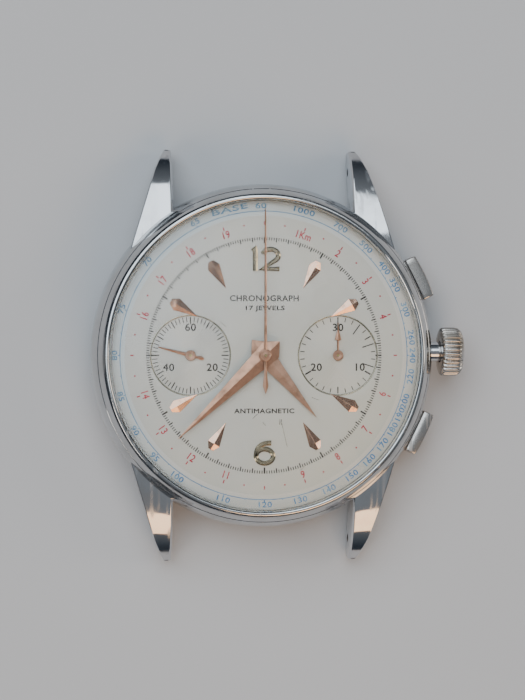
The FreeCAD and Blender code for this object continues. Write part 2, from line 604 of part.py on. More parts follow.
keep("winding_stem", Piece("winding_stem").turn([
    ("8.35", "0"), ("8.35", "0.3"), ("9.35", "0.3"), ("9.35", "stem_square_radius"),
    ("crown_wheel_x-1", "stem_square_radius"), ("crown_wheel_x-1", "stem_radius"),
    ("crown_wheel_x+0.1", "stem_radius"), ("crown_wheel_x+0.1", "stem_neck_radius"),
    ("crown_wheel_x+0.7", "stem_neck_radius"), ("crown_wheel_x+0.7", "stem_radius"),
    (f"{crown_face}+crown_length-0.5", "stem_radius"), (f"{crown_face}+crown_length-0.5", "0")],
    axis="H_Axis").seat("0", "stem_offset", stem_z))

cap_in = f"({case_radius}+pusher_gap)"
cap_out = f"({cap_in}+pusher_depth)"
for name, way in (("start_pusher", "pusher_angle"), ("reset_pusher", "(0-pusher_angle)")):
    cap = Piece(name)
    cap.add("0-pusher_height/2", "pusher_height/2", [[
        (cap_in, "0-pusher_width/2"),
        (f"{cap_in}+pusher_depth-0.15", "0-pusher_width/2", f"{cap_out}", 1),
        (f"{cap_in}+pusher_depth-0.15", "pusher_width/2"), (cap_in, "pusher_width/2")]])
    cap.take(f"{cap_in}-0.2", f"{cap_in}+0.85", circles=[("0", "0", "1.0")], plane="YZ")
    cap.add("movement_radius+0.0", f"{cap_in}+1.0", circles=[("0", "0", "pusher_rod")], plane="YZ")
    keep(name, cap.seat("0", "0", pusher_z, way))
for name, way in (("start_spring", "pusher_angle"), ("reset_spring", "(0-pusher_angle)")):
    start, stop = number(f"{case_radius}-pusher_travel-0.2"), number(f"{cap_in}+0.85")
    wire, radius = number("spring_wire"), number("spring_radius")
    rise = stop - start - 2 * wire
    coil = Part.makeHelix(rise / number("spring_turns"), rise, radius, 0, name == "start_spring")
    mark = Part.Wire(Part.makeCircle(wire, V(radius, 0, 0), V(0, 1, 0)).Edges)
    solid = Part.Wire(coil.Edges).makePipeShell([mark], True, True)
    solid.rotate(V(0, 0, 0), V(0, 1, 0), 90)
    solid.translate(V(start + wire, 0, number(pusher_z)))
    solid.rotate(V(0, 0, 0), V(0, 0, 1), number(way))
    wound = doc.addObject("Part::Feature", name)
    wound.Shape = solid
    wound.Label = name
    keep(name, wound)

# ---------------------------------------------------------------- dial, markers and hands

face = Piece("dial")
face.add(plate_top, dial_top, circles=[("0", "0", dial_radius)])
face.take(f"{dial_top}-register_depth", dial_top, circles=[
    (*FOURTH, "register_radius"), (*MINUTES, "register_radius")])
face.take(plate_top, dial_top, circles=[("0", "0", "dial_hole"), (*FOURTH, "0.3"), (*MINUTES, "0.3")])
feet = [polar("movement_radius-1.3", "60"), polar("movement_radius-1.3", "240")]
face.add(f"{plate_top}-0.85", plate_top, circles=[(x, y, "foot_radius") for x, y in feet])
keep("dial", face)

markers = Piece("hour_markers")
kites = []
for hour in (1, 2, 4, 5, 7, 8, 10, 11):
    a = f"({90 - 30 * hour})"
    out, side = (f"cos({a})", f"sin({a})"), (f"(0-sin({a}))", f"cos({a})")
    corner = lambda r, w: (f"({r})*{out[0]}+({w})*{side[0]}", f"({r})*{out[1]}+({w})*{side[1]}")
    kites.append([corner("marker_inner", "0"), corner("marker_widest", "0-marker_wide/2"),
                  corner("marker_outer", "0"), corner("marker_widest", "marker_wide/2")])
low, high = "(numeral_reach-numeral_height/2)", "(numeral_reach+numeral_height/2)"
one = [("0-1.28", low), ("numeral_stroke-1.28", low), ("numeral_stroke-1.28", high), ("0-1.1", high),
       ("0-1.5", f"{high}-0.5"), ("0-1.28", f"{high}-0.5")]
two = [("0-0.25", low), ("1.5", low), ("1.5", f"{low}+0.55"), ("0.62", f"{low}+0.55"),
       ("1.38", f"{low}+1.33"), ("1.5", f"{high}-0.68"), ("1.3", f"{high}-0.23"), ("0.85", high),
       ("0.3", high), ("0-0.1", f"{high}-0.23"), ("0-0.25", f"{high}-0.68"), ("0.3", f"{high}-0.73"),
       ("0.45", f"{high}-0.53"), ("0.75", f"{high}-0.53"), ("0.88", f"{high}-0.78"),
       ("0.75", f"{high}-1.08"), ("0-0.25", f"{low}+0.43")]
base = "(0-numeral_reach-0.1-numeral_height/2)"
six = [(x, f"{base}+{y}") for x, y in (
    ("0-1.0", 0.73), ("0-0.8", 0.23), ("0-0.35", 0), ("0.35", 0), ("0.85", 0.28), ("1.1", 0.78),
    ("0.9", 1.33), ("0.4", 1.58), ("0-0.2", 1.53), ("0.65", "numeral_height-0.03"),
    ("0-0.1", "numeral_height"), ("0-0.75", 1.73))]
markers.add(dial_top, f"{dial_top}+marker_height", kites + [one, two, six],
            [("0.03", f"{base}+0.8", "0.38")])
keep("hour_markers", markers)


def kite(reach, width, heel, widest="1.0"):
    return [("0", f"0-{heel}"), (f"({width})/2", widest), ("0", reach), (f"0-({width})/2", widest)]


hour_low = f"({dial_top}+hand_rise-0.1)"
minute_low = f"({hour_low}+0.37)"
sweep_low = f"({minute_low}+0.43)"
for name, low, reach, width, hub, hole, way, hub_top in (
        ("hour_hand", hour_low, "hour_hand", "hour_hand_width", "1.15", "pipe_radius",
         "(0-hour_angle)", "0.2"),
        ("minute_hand", minute_low, "minute_hand", "minute_hand_width", "0.95", "cannon_radius",
         "(0-minute_angle)", "0.28")):
    hand = Piece(name)
    hand.add("0", "hand_thickness", [kite(reach, width, "hand_heel")])
    hand.add("0-0.1", hub_top, circles=[("0", "0", hub)])
    hand.take("0-1", "1", circles=[("0", "0", hole)])
    keep(name, hand.seat("0", "0", low, way))
sweep = Piece("chrono_seconds_hand")
sweep.add("0", "0.1", [[("0-0.17", "0-0.3"), ("0-0.33", "0.8-sweep_tail"), ("0", "0-sweep_tail"),
                        ("0.33", "0.8-sweep_tail"), ("0.17", "0-0.3"), ("0.15", "1"),
                        ("0.05", "sweep_hand"), ("0-0.05", "sweep_hand"), ("0-0.15", "1")]])
sweep.add("0-0.06", "0.26", circles=[("0", "0", "0.65")])
sweep.take("0-1", "1", circles=[("0", "0", "sweep_arbor")])
keep("chrono_seconds_hand", sweep.seat("0", "0", sweep_low))
for name, place, way, outline in (
        ("small_seconds_hand", FOURTH, "(0-small_angle)",
         [("0-0.09", "0-1.15"), ("0.09", "0-1.15"), ("0.16", "0.9"), ("0.03", "small_hand"),
          ("0-0.03", "small_hand"), ("0-0.16", "0.9")]),
        ("minute_counter_hand", MINUTES, "0",
         [("0-0.1", "0"), ("0.1", "0"), ("0.1", "1.3"), ("0.42", "1.5"), ("0.03", "small_hand-0.2"),
          ("0-0.03", "small_hand-0.2"), ("0-0.42", "1.5"), ("0-0.1", "1.3")])):
    hand = Piece(name)
    hand.add("0", "0.1", [outline])
    hand.add("0-0.06", "0.16", circles=[("0", "0", "small_hub")])
    hand.take("0-1", "1", circles=[("0", "0", "arbor_radius")])
    keep(name, hand.seat(*place, f"{dial_top}+0.04", way))

# ---------------------------------------------------------------- plates and bridges

pillars_train = [("0-6.5", "12.0"), ("0-13.3", "2.5"), ("1.6", "0-6.3")]
pillars_barrel = [("0-1.3", "13.9"), ("10.6", "9.6"), ("12.3", "0-3.3")]
chrono_posts = [("0.5", "0-4.6"), ("6.6", "0-3.2"), ("0-1.5", "5.4")]
clamp_ways = ("75", "195")
cock_foot = ("0-11.3", "0-8.6")
across = (f"((balance_y-{PALLET[1]})/({to_balance}-pallet_distance))",
          f"(({PALLET[0]}-balance_x)/({to_balance}-pallet_distance))")
pallet_foot = (f"({PALLET[0]}+3.1*{across[0]})", f"({PALLET[1]}+3.1*{across[1]})")
cover_posts = [("10.3", "3.4"), ("12.9", "0-2.9")]
cam_post, click_post = ("2.2", "11.9"), ("0-1.6", "9.9")
start_post, reset_post, coupling_post = ("8.8", "9.6"), ("6.5", "0-9.5"), ("0-6.0", "5.6")
lever_post, yoke_post = ("crown_wheel_x+0.05", "stem_offset+2.5"), ("11.6", "0-3.2")
lever_low = f"({bridge_bottom}-1.28)"
lever_high = f"({lever_low}+lever_thickness)"
bearing = "(pivot_radius+running_gap)"
arbor_hole = "(arbor_radius+running_gap)"
staff_hole = "(centre_arbor+0.03)"
pallet_low, pallet_high = f"({plate_bottom}-1.55)", f"({plate_bottom}-1.3)"

plate = Piece("main_plate")
plate.add(plate_bottom, plate_top, circles=[("0", "0", "movement_radius")])
plate.add(bridge_top, plate_bottom, [
    box("crown_wheel_x-0.75", "movement_radius-0.3", "stem_offset-1.5", "stem_offset+1.5"),
    box("8.8", "9.15", "stem_offset-0.9", "stem_offset+0.9")])
plate.take(recess, plate_top, circles=[("0", "0", "2.8")])
plate.take(recess, plate_top, circles=[(*MINUTE_WHEEL, f"{minute_wheel_radius}+0.28")])
plate.take(recess, plate_top, circles=[(*SETTING, f"{setting_radius}+0.25")])
plate.take(recess, plate_top, circles=[(*IDLER, f"{idler_radius}+0.3")])
plate.take(recess, plate_top, [[("9.0", "0-4.4"), ("13.2", "0-4.4"), ("14.6", "0-2.4"), ("14.6", "3.0"),
                                ("13.0", "4.2"), ("9.9", "4.2"), ("9.0", "3.4")]])
plate.take(plate_bottom, recess, [box("9.2", "crown_wheel_x-1", "stem_offset-1.35", "stem_offset+1.35")])
plate.take(f"{stem_z}+0.3", recess, [box("crown_wheel_x-0.15", "crown_wheel_x+1.65", "stem_offset-0.35",
                                         "stem_offset+0.6")])
plate.take("crown_wheel_x-2", "movement_radius+1", circles=[
    ("stem_offset", stem_z, "(stem_radius+stem_clearance)")], plane="YZ")
plate.take("8.5", "9.3", circles=[("stem_offset", stem_z, "0.34")], plane="YZ")
plate.take(plate_bottom, f"{plate_bottom}+0.3", circles=[
    (*place, "jewel_radius") for place in (THIRD, FOURTH, ESCAPE, PALLET, BALANCE)])
plate.take(plate_bottom, f"{plate_bottom}+0.3", circles=[(*BARREL, "jewel_radius+running_gap")])
plate.take(plate_bottom, plate_top, circles=[("0", "0", staff_hole), (*MINUTES, arbor_hole),
                                             (*FOURTH, arbor_hole)])
plate.take(f"{plate_top}-0.9", plate_top, circles=[(x, y, "foot_radius") for x, y in feet])
fixing_spots = pillars_train + pillars_barrel + [cock_foot, pallet_foot]
plate.take(plate_bottom, f"{plate_bottom}+0.3", circles=[(*spot, "screw_radius") for spot in fixing_spots])
plate.add(recess, f"{recess}+0.6", circles=[(*MINUTE_WHEEL, "0.28"), (*SETTING, "0.28"),
                                            (*IDLER, "0.28"), (*lever_post, "0.28"), (*yoke_post, "0.28")])
plate.add(recess, f"{recess}+0.65", circles=[(*spot, "0.5") for spot in cover_posts])
plate.add(f"{lever_high}+0.03", plate_bottom, circles=[(*reset_post, "0.8")])
plate.add(f"{lever_low}-0.03", f"{lever_high}+0.03", circles=[(*reset_post, "0.28")])
keep("main_plate", plate)

bridge = Piece("barrel_bridge")
bridge.add(bridge_bottom, bridge_top, circles=[("0", "0", bridge_edge)])
bridge.take(bridge_bottom, bridge_top, [[
    ("0-16", "20"), ("0-6.0", "20"), ("0-6.0", "16"), ("0-2.2", "3.0"), ("1.6", "1.4"), ("1.6", "0-1.9"), ("3.2", "0-3.0"),
    ("3.2", "0-4.6"), ("20", "0-4.6"), ("20", "0-20"), ("0-20", "0-20"), ("0-20", "20")]])
bridge.add(bridge_top, plate_bottom, circles=[(*spot, "pillar_radius") for spot in pillars_barrel])
bridge.take(bridge_bottom, bridge_top, [box("9.2", "crown_wheel_x-0.9", "stem_offset-1.35",
                                            "stem_offset+1.35")])
bridge.take(bridge_bottom, f"{bridge_top}-0.28", circles=[(*CROWN_WHEEL, "(face_ring+0.4)")])
bridge.add(f"{bridge_bottom}-winding_wheel_height", f"{bridge_top}-0.28", circles=[(*CROWN_WHEEL, "0.7")])
bridge.add(f"{bridge_bottom}-winding_wheel_height", bridge_bottom, circles=[(*WINDING_WHEEL, "0.6")])
bridge.take(bridge_bottom, bridge_top, circles=[(*BARREL, "jewel_radius+running_gap"),
                                                (*MINUTES, "arbor_radius+0.05")])
bridge.take(bridge_bottom, f"{bridge_bottom}+0.4", circles=[(*COUNTER, arbor_hole)])
notch = [polar(r, "pusher_angle", f"(0-({s})*sin(pusher_angle))", f"(({s})*cos(pusher_angle))")
         for r, s in (("movement_radius-1.6", "0-1.5"), ("movement_radius+2", "0-1.5"),
                      ("movement_radius+2", "1.5"), ("movement_radius-1.6", "1.5"))]
bridge.take(bridge_bottom, bridge_top, [notch])
bridge.take(bridge_bottom, plate_bottom, circles=[(*spot, "screw_radius") for spot in pillars_barrel])
bridge.take(bridge_bottom, f"{bridge_bottom}+0.6", circles=[
    (*chrono_posts[1], "screw_radius"), (*chrono_posts[2], "screw_radius"),
    (*polar("movement_radius-1.2", clamp_ways[0]), "screw_radius")])
bridge.add(f"{bridge_bottom}-0.4", bridge_bottom, circles=[(*click_post, "0.28")])
bridge.add(f"{lever_high}+0.03", bridge_bottom, circles=[(*start_post, "0.6"), (*cam_post, "0.6")])
bridge.add(f"{lever_low}-0.03", f"{lever_high}+0.03", circles=[(*start_post, "0.28"), (*cam_post, "0.28")])
keep("barrel_bridge", bridge)

bridge = Piece("train_bridge")
bridge.add(bridge_bottom, bridge_top, circles=[("0", "0", bridge_edge)])
bridge.take(bridge_bottom, bridge_top, [[
    ("0-6.25", "20"), ("0-6.25", "16"), ("0-2.45", "2.9"), ("1.35", "1.2"), ("1.35", "0-2.0"), ("2.95", "0-3.1"),
    ("2.95", "0-20"), ("20", "0-20"), ("20", "20")]])
bridge.take(bridge_bottom, bridge_top, circles=[(*BALANCE, "(balance_radius+0.5)")])
bridge.take(bridge_bottom, bridge_top, [[("0-20", "0-7.2"), ("0-9.9", "0-7.2"), ("0-8.9", "0-9.2"),
                                         ("0-7.6", "0-13.5"), ("0-7.6", "0-20"), ("0-20", "0-20")]])
bridge.add(bridge_top, plate_bottom, circles=[(*spot, "pillar_radius") for spot in pillars_train])
bridge.take(bridge_bottom, bridge_top, circles=[
    (*THIRD, "jewel_radius"), (*FOURTH, "jewel_radius"), (*ESCAPE, "jewel_radius"),
    ("0", "0", staff_hole)])
bridge.take(bridge_bottom, plate_bottom, circles=[(*spot, "screw_radius") for spot in pillars_train])
bridge.take(bridge_bottom, f"{bridge_bottom}+0.6", circles=[
    (*chrono_posts[0], "screw_radius"), (*polar("movement_radius-1.2", clamp_ways[1]), "screw_radius")])
bridge.add(f"{lever_high}+0.03", bridge_bottom, circles=[(*coupling_post, "0.6")])
bridge.add(f"{lever_low}-0.03", f"{lever_high}+0.03", circles=[(*coupling_post, "0.28")])
keep("train_bridge", bridge)

cock_low = f"({bridge_bottom}-0.95)"
cock = Piece("balance_cock")
cock.add(cock_low, bridge_bottom, [bar_between(*cock_foot, *BALANCE, "1.1", "0.7")])
cock.add(cock_low, plate_bottom, circles=[(*cock_foot, "1.1")])
cock.add(cock_low, bridge_bottom, circles=[(*BALANCE, "1.0")])
cock.take(cock_low, plate_bottom, circles=[(*cock_foot, "screw_radius")])
cock.take(cock_low, bridge_bottom, circles=[(*BALANCE, "jewel_radius")])
keep("balance_cock", cock)

cock = Piece("pallet_cock")
cock.add(pallet_low, pallet_high, [bar_between(*pallet_foot, *PALLET, "0.55", "0.6")])
cock.add(pallet_low, pallet_high, circles=[(*PALLET, "0.75")])
cock.add(pallet_low, plate_bottom, circles=[(*pallet_foot, "0.6")])
cock.take(pallet_low, pallet_high, circles=[(*PALLET, "jewel_radius")])
cock.take(pallet_low, plate_bottom, circles=[(*pallet_foot, "screw_radius")])
keep("pallet_cock", cock)

chrono_low, chrono_high = f"({chrono_floor}+0.15)", f"({chrono_floor}+0.5)"
cover = Piece("chrono_bridge")
cover.add(chrono_low, chrono_high, [[("0-2.3", "6.1"), ("0-0.8", "6.3"), ("1.1", "1.2"), ("8.5", "1.1"),
                                    ("9.0", "0-0.6"), ("7.4", "0-4.0"), ("6.2", "0-4.2"),
                                    ("1.2", "0-5.5"), ("0-0.3", "0-5.3"), ("0-1.3", "0-0.4")]])
cover.add(chrono_high, bridge_bottom, circles=[(*spot, "0.6") for spot in chrono_posts])
cover.take(chrono_low, bridge_bottom, circles=[(*spot, "screw_radius") for spot in chrono_posts])
cover.take(chrono_low, chrono_high, circles=[("0", "0", arbor_hole), (*MINUTES, arbor_hole),
                                            (*COUNTER, arbor_hole)])
keep("chrono_bridge", cover)

clamps = Piece("case_clamps")
clamp_low = f"({bridge_bottom}-0.3)"
for way in clamp_ways:
    start, stop = polar("movement_radius-2.0", way), polar(f"{rim_radius}-0.2", way)
    clamps.add(clamp_low, bridge_bottom, [bar_between(*start, *stop, "0.85", "0.85")])
clamps.take(clamp_low, bridge_bottom, circles=[(*polar("movement_radius-1.2", way), "screw_radius")
                                               for way in clamp_ways])
keep("case_clamps", clamps)

cover_low = f"({recess}+0.65)"
cover = Piece("keyless_cover")
cover.add(cover_low, f"{cover_low}+0.16", [[
    ("9.6", "3.95"), ("9.6", "2.7"), ("11.0", "1.2"), ("10.9", "0-3.9"), ("13.0", "0-3.9"),
    ("14.3", "0-2.2"), ("14.3", "2.8"), ("12.9", "3.95")]])
cover.take(cover_low, f"{cover_low}+0.16", circles=[(*spot, "screw_radius") for spot in cover_posts])
keep("keyless_cover", cover)

screws = Piece("movement_screws")
sets = [(pillars_train + pillars_barrel, bridge_bottom, f"{plate_bottom}+0.28", "screw_head_radius"),
        ([cock_foot], cock_low, f"{plate_bottom}+0.28", "screw_head_radius"),
        ([pallet_foot], pallet_low, f"{plate_bottom}+0.28", "(screw_radius+0.07)"),
        (chrono_posts, chrono_low, f"{bridge_bottom}+0.58", "screw_head_radius"),
        ([polar("movement_radius-1.2", way) for way in clamp_ways], clamp_low,
         f"{bridge_bottom}+0.58", "screw_head_radius")]
for spots, seat, stop, head in sets:
    screws.add(f"{seat}-0.22", seat, circles=[(*spot, head) for spot in spots])
    screws.add(seat, stop, circles=[(*spot, "screw_radius") for spot in spots])
    screws.take(f"{seat}-0.22", f"{seat}-0.22+0.11", [
        box(f"({spot[0]})-0.8", f"({spot[0]})+0.8", f"({spot[1]})-screw_slot/2", f"({spot[1]})+screw_slot/2")
        for spot in spots])
keep("movement_screws", screws)

jewels = Piece("jewels")
upper = [(THIRD, bearing), (ESCAPE, bearing), (PALLET, bearing), (BALANCE, bearing), (FOURTH, arbor_hole)]
lower = [(THIRD, bearing), (ESCAPE, bearing), (FOURTH, arbor_hole)]
jewels.add(plate_bottom, f"{plate_bottom}+jewel_thickness", circles=[
    c for place, hole in upper for c in ((*place, "jewel_radius"), (*place, hole))])
jewels.add(f"{bridge_top}-jewel_thickness", bridge_top, circles=[
    c for place, hole in lower for c in ((*place, "jewel_radius"), (*place, hole))])
jewels.add(f"{bridge_bottom}-jewel_thickness", bridge_bottom, circles=[
    (*BALANCE, "jewel_radius"), (*BALANCE, bearing)])
jewels.add(pallet_low, pallet_high, circles=[(*PALLET, "jewel_radius"), (*PALLET, bearing)])
keep("jewels", jewels)

# ---------------------------------------------------------------- going train

count = lambda name: int(round(number(name)))
centre_phase, fourth_phase = 0.0, 0.0
third_from_centre = mesh_phase(CENTRE, count("centre_teeth"), 0.0, THIRD, count("third_leaves"))
fourth_from_third = mesh_phase(THIRD, count("third_teeth"), 0.0, FOURTH, count("fourth_leaves"))
escape_from_fourth = mesh_phase(FOURTH, count("fourth_teeth"), 0.0, ESCAPE, count("escape_leaves"))
centre_from_barrel = mesh_phase(BARREL, count("barrel_teeth"), 0.0, CENTRE, count("centre_leaves"))


def leaves(teeth, module, phase):
    return toothed(count(teeth), number(module), phase, 0.36)


def pivots(low, high, body_low, body_high, radius="arbor_radius"):
    """Both thin pivots and the arbor between them."""
    return [(low, high, "pivot_radius"), (body_low, body_high, radius)]


jewel_low, jewel_high = f"({bridge_top}-0.28)", f"({plate_bottom}+0.28)"
inner_low, inner_high = f"({bridge_top}+0.02)", f"({plate_bottom}-0.02)"
keep("centre_wheel", wheel("centre_wheel", CENTRE, f"{plate_bottom}-0.3", f"{plate_bottom}-0.3+wheel_thickness",
                           "centre_teeth", "going_module", 0.0, [
    (f"{bridge_top}+0.05", f"{bridge_top}+1.05", leaves("centre_leaves", "barrel_module", centre_from_barrel)),
    (f"{bridge_bottom}+0.1", f"{minute_low}-0.05", "centre_arbor"),
    (f"{bridge_top}+1.05", f"{plate_bottom}-0.02", "0.75")], bore="centre_bore", spokes=5, hub=1.3))
keep("third_wheel", wheel("third_wheel", THIRD, f"{plate_bottom}-0.85", f"{plate_bottom}-0.72",
                          "third_teeth", "fourth_module", 0.0, [
    (f"{plate_bottom}-0.72", f"{plate_bottom}-0.1",
     leaves("third_leaves", "going_module", third_from_centre))] +
    pivots(jewel_low, jewel_high, inner_low, inner_high), hub=0.8))
keep("fourth_wheel", wheel("fourth_wheel", FOURTH, f"{plate_bottom}-0.55", f"{plate_bottom}-0.55+wheel_thickness",
                           "fourth_teeth", "escape_module", 0.0, [
    (f"{plate_bottom}-1.0", f"{plate_bottom}-0.55",
     leaves("fourth_leaves", "fourth_module", fourth_from_third)),
    (f"{bridge_bottom}-0.75", f"{dial_top}+0.2", "arbor_radius"),
    (f"{bridge_bottom}-0.7", f"{bridge_bottom}-0.55",
     toothed(count("chrono_teeth"), number("chrono_module")))]))
keep("escape_wheel", wheel("escape_wheel", ESCAPE, f"{plate_bottom}-0.7", f"{plate_bottom}-0.2",
                           "escape_leaves", "escape_module", escape_from_fourth, [
    (f"{plate_bottom}-1.25", f"{plate_bottom}-1.1",
     hooked(count("escape_points"), number("escape_radius"), number("escape_radius-0.5"), 0.12))] +
    pivots(jewel_low, jewel_high, inner_low, inner_high), spokes=0, thick=0.36))
barrel_floor = f"({bridge_top}+0.05)"
barrel_top = f"({plate_bottom}-0.4)"
drum_radius = f"({barrel_radius}-1.6*barrel_module)"
drum = joined("barrel_solid", [
    raised(toothed(count("barrel_teeth"), number("barrel_module"), 0.0), *BARREL, barrel_floor,
           f"{barrel_floor}+0.45"),
    round_bar(*BARREL, barrel_floor, barrel_top, drum_radius)])
keep("barrel", minus("barrel", drum, [
    round_bar(*BARREL, f"{barrel_floor}+0.15", f"{barrel_top}-0.15", f"{drum_radius}-0.25"),
    round_bar(*BARREL, f"{barrel_floor}-1", f"{barrel_top}+1", "jewel_radius+running_gap")]))
keep("barrel_arbor", joined("barrel_arbor", [
    round_bar(*BARREL, f"{bridge_bottom}-winding_wheel_height-0.06", f"{plate_bottom}+0.28", "jewel_radius"),
    round_bar(*BARREL, f"{barrel_floor}+0.2", f"{barrel_top}-0.2", "1.3")]))
keep("mainspring", joined("mainspring", [
    raised(spiral(1.38, number(f"{drum_radius}-0.33"), 9, 0.1), *BARREL, f"{barrel_floor}+0.2",
           f"{barrel_top}-0.2"),
    raised(closed([at(number(f"{drum_radius}-0.4"), -0.02), at(number(f"{drum_radius}-0.26"), -0.02),
                   at(number(f"{drum_radius}-0.26"), 0.02), at(number(f"{drum_radius}-0.4"), 0.02)]),
           *BARREL, f"{barrel_floor}+0.2", f"{barrel_top}-0.2")]))

# ---------------------------------------------------------------- winding work

winding_low = f"({bridge_bottom}-winding_wheel_height)"
wind_phase = mesh_phase(CROWN_WHEEL, count("crown_wheel_teeth"), 0.0, WINDING_WHEEL,
                        count("winding_wheel_teeth"))
ratchet_phase = mesh_phase(WINDING_WHEEL, count("winding_wheel_teeth"), wind_phase, BARREL,
                           count("ratchet_teeth"))
face_top = f"({stem_z}-winding_pinion_radius+0.08)"
keep("crown_wheel", wheel("crown_wheel", CROWN_WHEEL, winding_low, f"{bridge_bottom}-0.02",
                          "crown_wheel_teeth", "winding_module", 0.0, [
    (f"{bridge_bottom}-0.02", face_top, ring_of_teeth(24, number("face_ring-0.2"), number("face_ring+0.2"))),
    (winding_low, f"{bridge_bottom}+0.15", "face_ring+0.25")], bore="0.72", spokes=0))
keep("winding_wheel", wheel("winding_wheel", WINDING_WHEEL, winding_low, f"{bridge_bottom}-0.02",
                            "winding_wheel_teeth", "winding_module", wind_phase, bore="0.62", spokes=0))
keep("ratchet_wheel", wheel("ratchet_wheel", BARREL, winding_low, f"{bridge_bottom}-0.02",
                            "ratchet_teeth", "winding_module", ratchet_phase, bore="jewel_radius", spokes=0))
click = Piece("click")
click_tip = polar(f"{ratchet_radius}+0.34", "142", *BARREL)
click.add(f"{bridge_bottom}-0.32", f"{bridge_bottom}-0.04", [bar_between(*click_post, *click_tip, "0.4", "0.12")])
click.add(f"{bridge_bottom}-0.32", f"{bridge_bottom}-0.04", circles=[(*click_post, "0.55")])
click.take(f"{bridge_bottom}-0.32", f"{bridge_bottom}-0.04", circles=[(*click_post, "0.3")])
keep("click", click)

keep("winding_pinion", minus("winding_pinion", along_x(
    toothed(count("winding_pinion_teeth"), number("2*winding_pinion_radius/(winding_pinion_teeth+1.8)"), 0.1),
    "crown_wheel_x-2.1", "crown_wheel_x-1.1", "stem_offset", stem_z),
    [lying_bar("0", "5", "20", "stem_square_radius+stem_clearance", "stem_offset", stem_z)]))
clutch = Piece("clutch_wheel")
sliding = "(stem_square_radius+stem_clearance)"
clutch.turn([("9.85", sliding), ("9.85", "clutch_radius"), ("10.25", "clutch_radius"), ("10.25", "0.75"),
             ("10.62", "0.75"), ("10.62", "clutch_radius"), ("10.97", "clutch_radius"),
             ("10.97", sliding)], axis="H_Axis")
for low, high in (("9.7", "9.97"), ("10.86", "11.1")):
    clutch.take(low, high, circles=[(f"clutch_radius*cos({i}*30)", f"clutch_radius*sin({i}*30)", "0.13")
                                    for i in range(12)], plane="YZ")
keep("clutch_wheel", clutch.seat("0", "stem_offset", stem_z))

lever = Piece("setting_lever")
lever_level = f"({recess}+0.27)"
pin_spot = ("crown_wheel_x+0.4", "stem_offset")
lever.add(lever_level, f"{lever_level}+0.22", [bar_between(*lever_post, *pin_spot, "0.45", "0.3")])
lever.add(lever_level, f"{lever_level}+0.22", circles=[(*lever_post, "0.6")])
lever.add(f"{stem_z}+0.4", f"{lever_level}+0.22", circles=[(*pin_spot, "0.22")])
lever.take(lever_level, f"{lever_level}+0.22", circles=[(*lever_post, "0.3")])
keep("setting_lever", lever)
yoke = Piece("yoke")
yoke_level = f"({recess}+0.03)"
yoke_pin = ("10.435", "stem_offset")
yoke.add(yoke_level, f"{yoke_level}+0.2", [bar_between(*yoke_post, *yoke_pin, "0.4", "0.2")])
yoke.add(yoke_level, f"{yoke_level}+0.2", circles=[(*yoke_post, "0.6")])
yoke.add(f"{stem_z}+0.8", f"{yoke_level}+0.2", circles=[(*yoke_pin, "0.13")])
yoke.take(yoke_level, f"{yoke_level}+0.2", circles=[(*yoke_post, "0.3")])
keep("yoke", yoke)

# ---------------------------------------------------------------- hands' gearing under the dial

minute_from_cannon = mesh_phase(CENTRE, count("cannon_leaves"), 0.0, MINUTE_WHEEL, count("minute_wheel_teeth"))
hour_from_minute = mesh_phase(MINUTE_WHEEL, count("minute_wheel_leaves"), minute_from_cannon, CENTRE,
                              count("hour_wheel_teeth"))
idler_phase = mesh_phase(MINUTE_WHEEL, count("minute_wheel_teeth"), minute_from_cannon, IDLER,
                         count("setting_idler_teeth"))
setting_phase = mesh_phase(IDLER, count("setting_idler_teeth"), idler_phase, SETTING, count("setting_teeth"))
motion_low, motion_high = f"({recess}+0.08)", f"({recess}+0.22)"
keep("cannon_pinion", wheel("cannon_pinion", CENTRE, f"{recess}+0.03", f"{recess}+0.38", "cannon_leaves",
                            "motion_module", 0.0, [(f"{recess}+0.38", f"{minute_low}+0.28", "cannon_radius")],
                            bore="centre_arbor", spokes=0, thick=0.36))
keep("minute_wheel", wheel("minute_wheel", MINUTE_WHEEL, motion_low, motion_high, "minute_wheel_teeth",
                           "motion_module", minute_from_cannon, [
    (motion_high, f"{recess}+0.8", leaves("minute_wheel_leaves", hour_module, minute_from_cannon))],
    bore="0.3", spokes=0))
keep("hour_wheel", wheel("hour_wheel", CENTRE, f"{recess}+0.5", f"{recess}+0.7", "hour_wheel_teeth",
                         hour_module, hour_from_minute,
                         [(f"{recess}+0.5", f"{hour_low}+0.2", "pipe_radius")],
                         bore="(cannon_radius+0.03)", spokes=0))
keep("setting_wheel", wheel("setting_wheel", SETTING, motion_low, motion_high, "setting_teeth",
                            "motion_module", setting_phase, bore="0.3", spokes=0))
keep("setting_idler", wheel("setting_idler", IDLER, motion_low, motion_high, "setting_idler_teeth",
                            "motion_module", idler_phase, bore="0.3", spokes=0))

# ---------------------------------------------------------------- escapement and balance

toward = math.degrees(math.atan2(number(f"balance_y-{PALLET[1]}"), number(f"balance_x-{PALLET[0]}")))
fork = Piece("pallet_fork")
fork.add("0", "0.13", [[("0-0.3", "0"), ("0-0.5", "1.2"), ("0-0.85", "1.62"), ("0-0.6", "1.9"),
                        ("0-0.1", "1.45"), ("0.3", "0.5"), ("0.3", "0-0.5"), ("0-0.1", "0-1.45"),
                        ("0-0.6", "0-1.9"), ("0-0.85", "0-1.62"), ("0-0.5", "0-1.2")]])
fork.add("0", "0.13", [box("0.2", "2.9", "0-0.15", "0.15")])
fork.add("0", "0.13", [[("2.8", "0-0.48"), ("3.4", "0-0.48"), ("3.4", "0-0.16"), ("3.1", "0-0.16"),
                        ("3.1", "0.16"), ("3.4", "0.16"), ("3.4", "0.48"), ("2.8", "0.48")]])
fork.add(f"{pallet_high}+0.02-({plate_bottom}-1.24)", "1.22", circles=[("0", "0", "arbor_radius")])
fork.add(f"{pallet_low}+0.02-({plate_bottom}-1.24)", "1.52", circles=[("0", "0", "pivot_radius")])
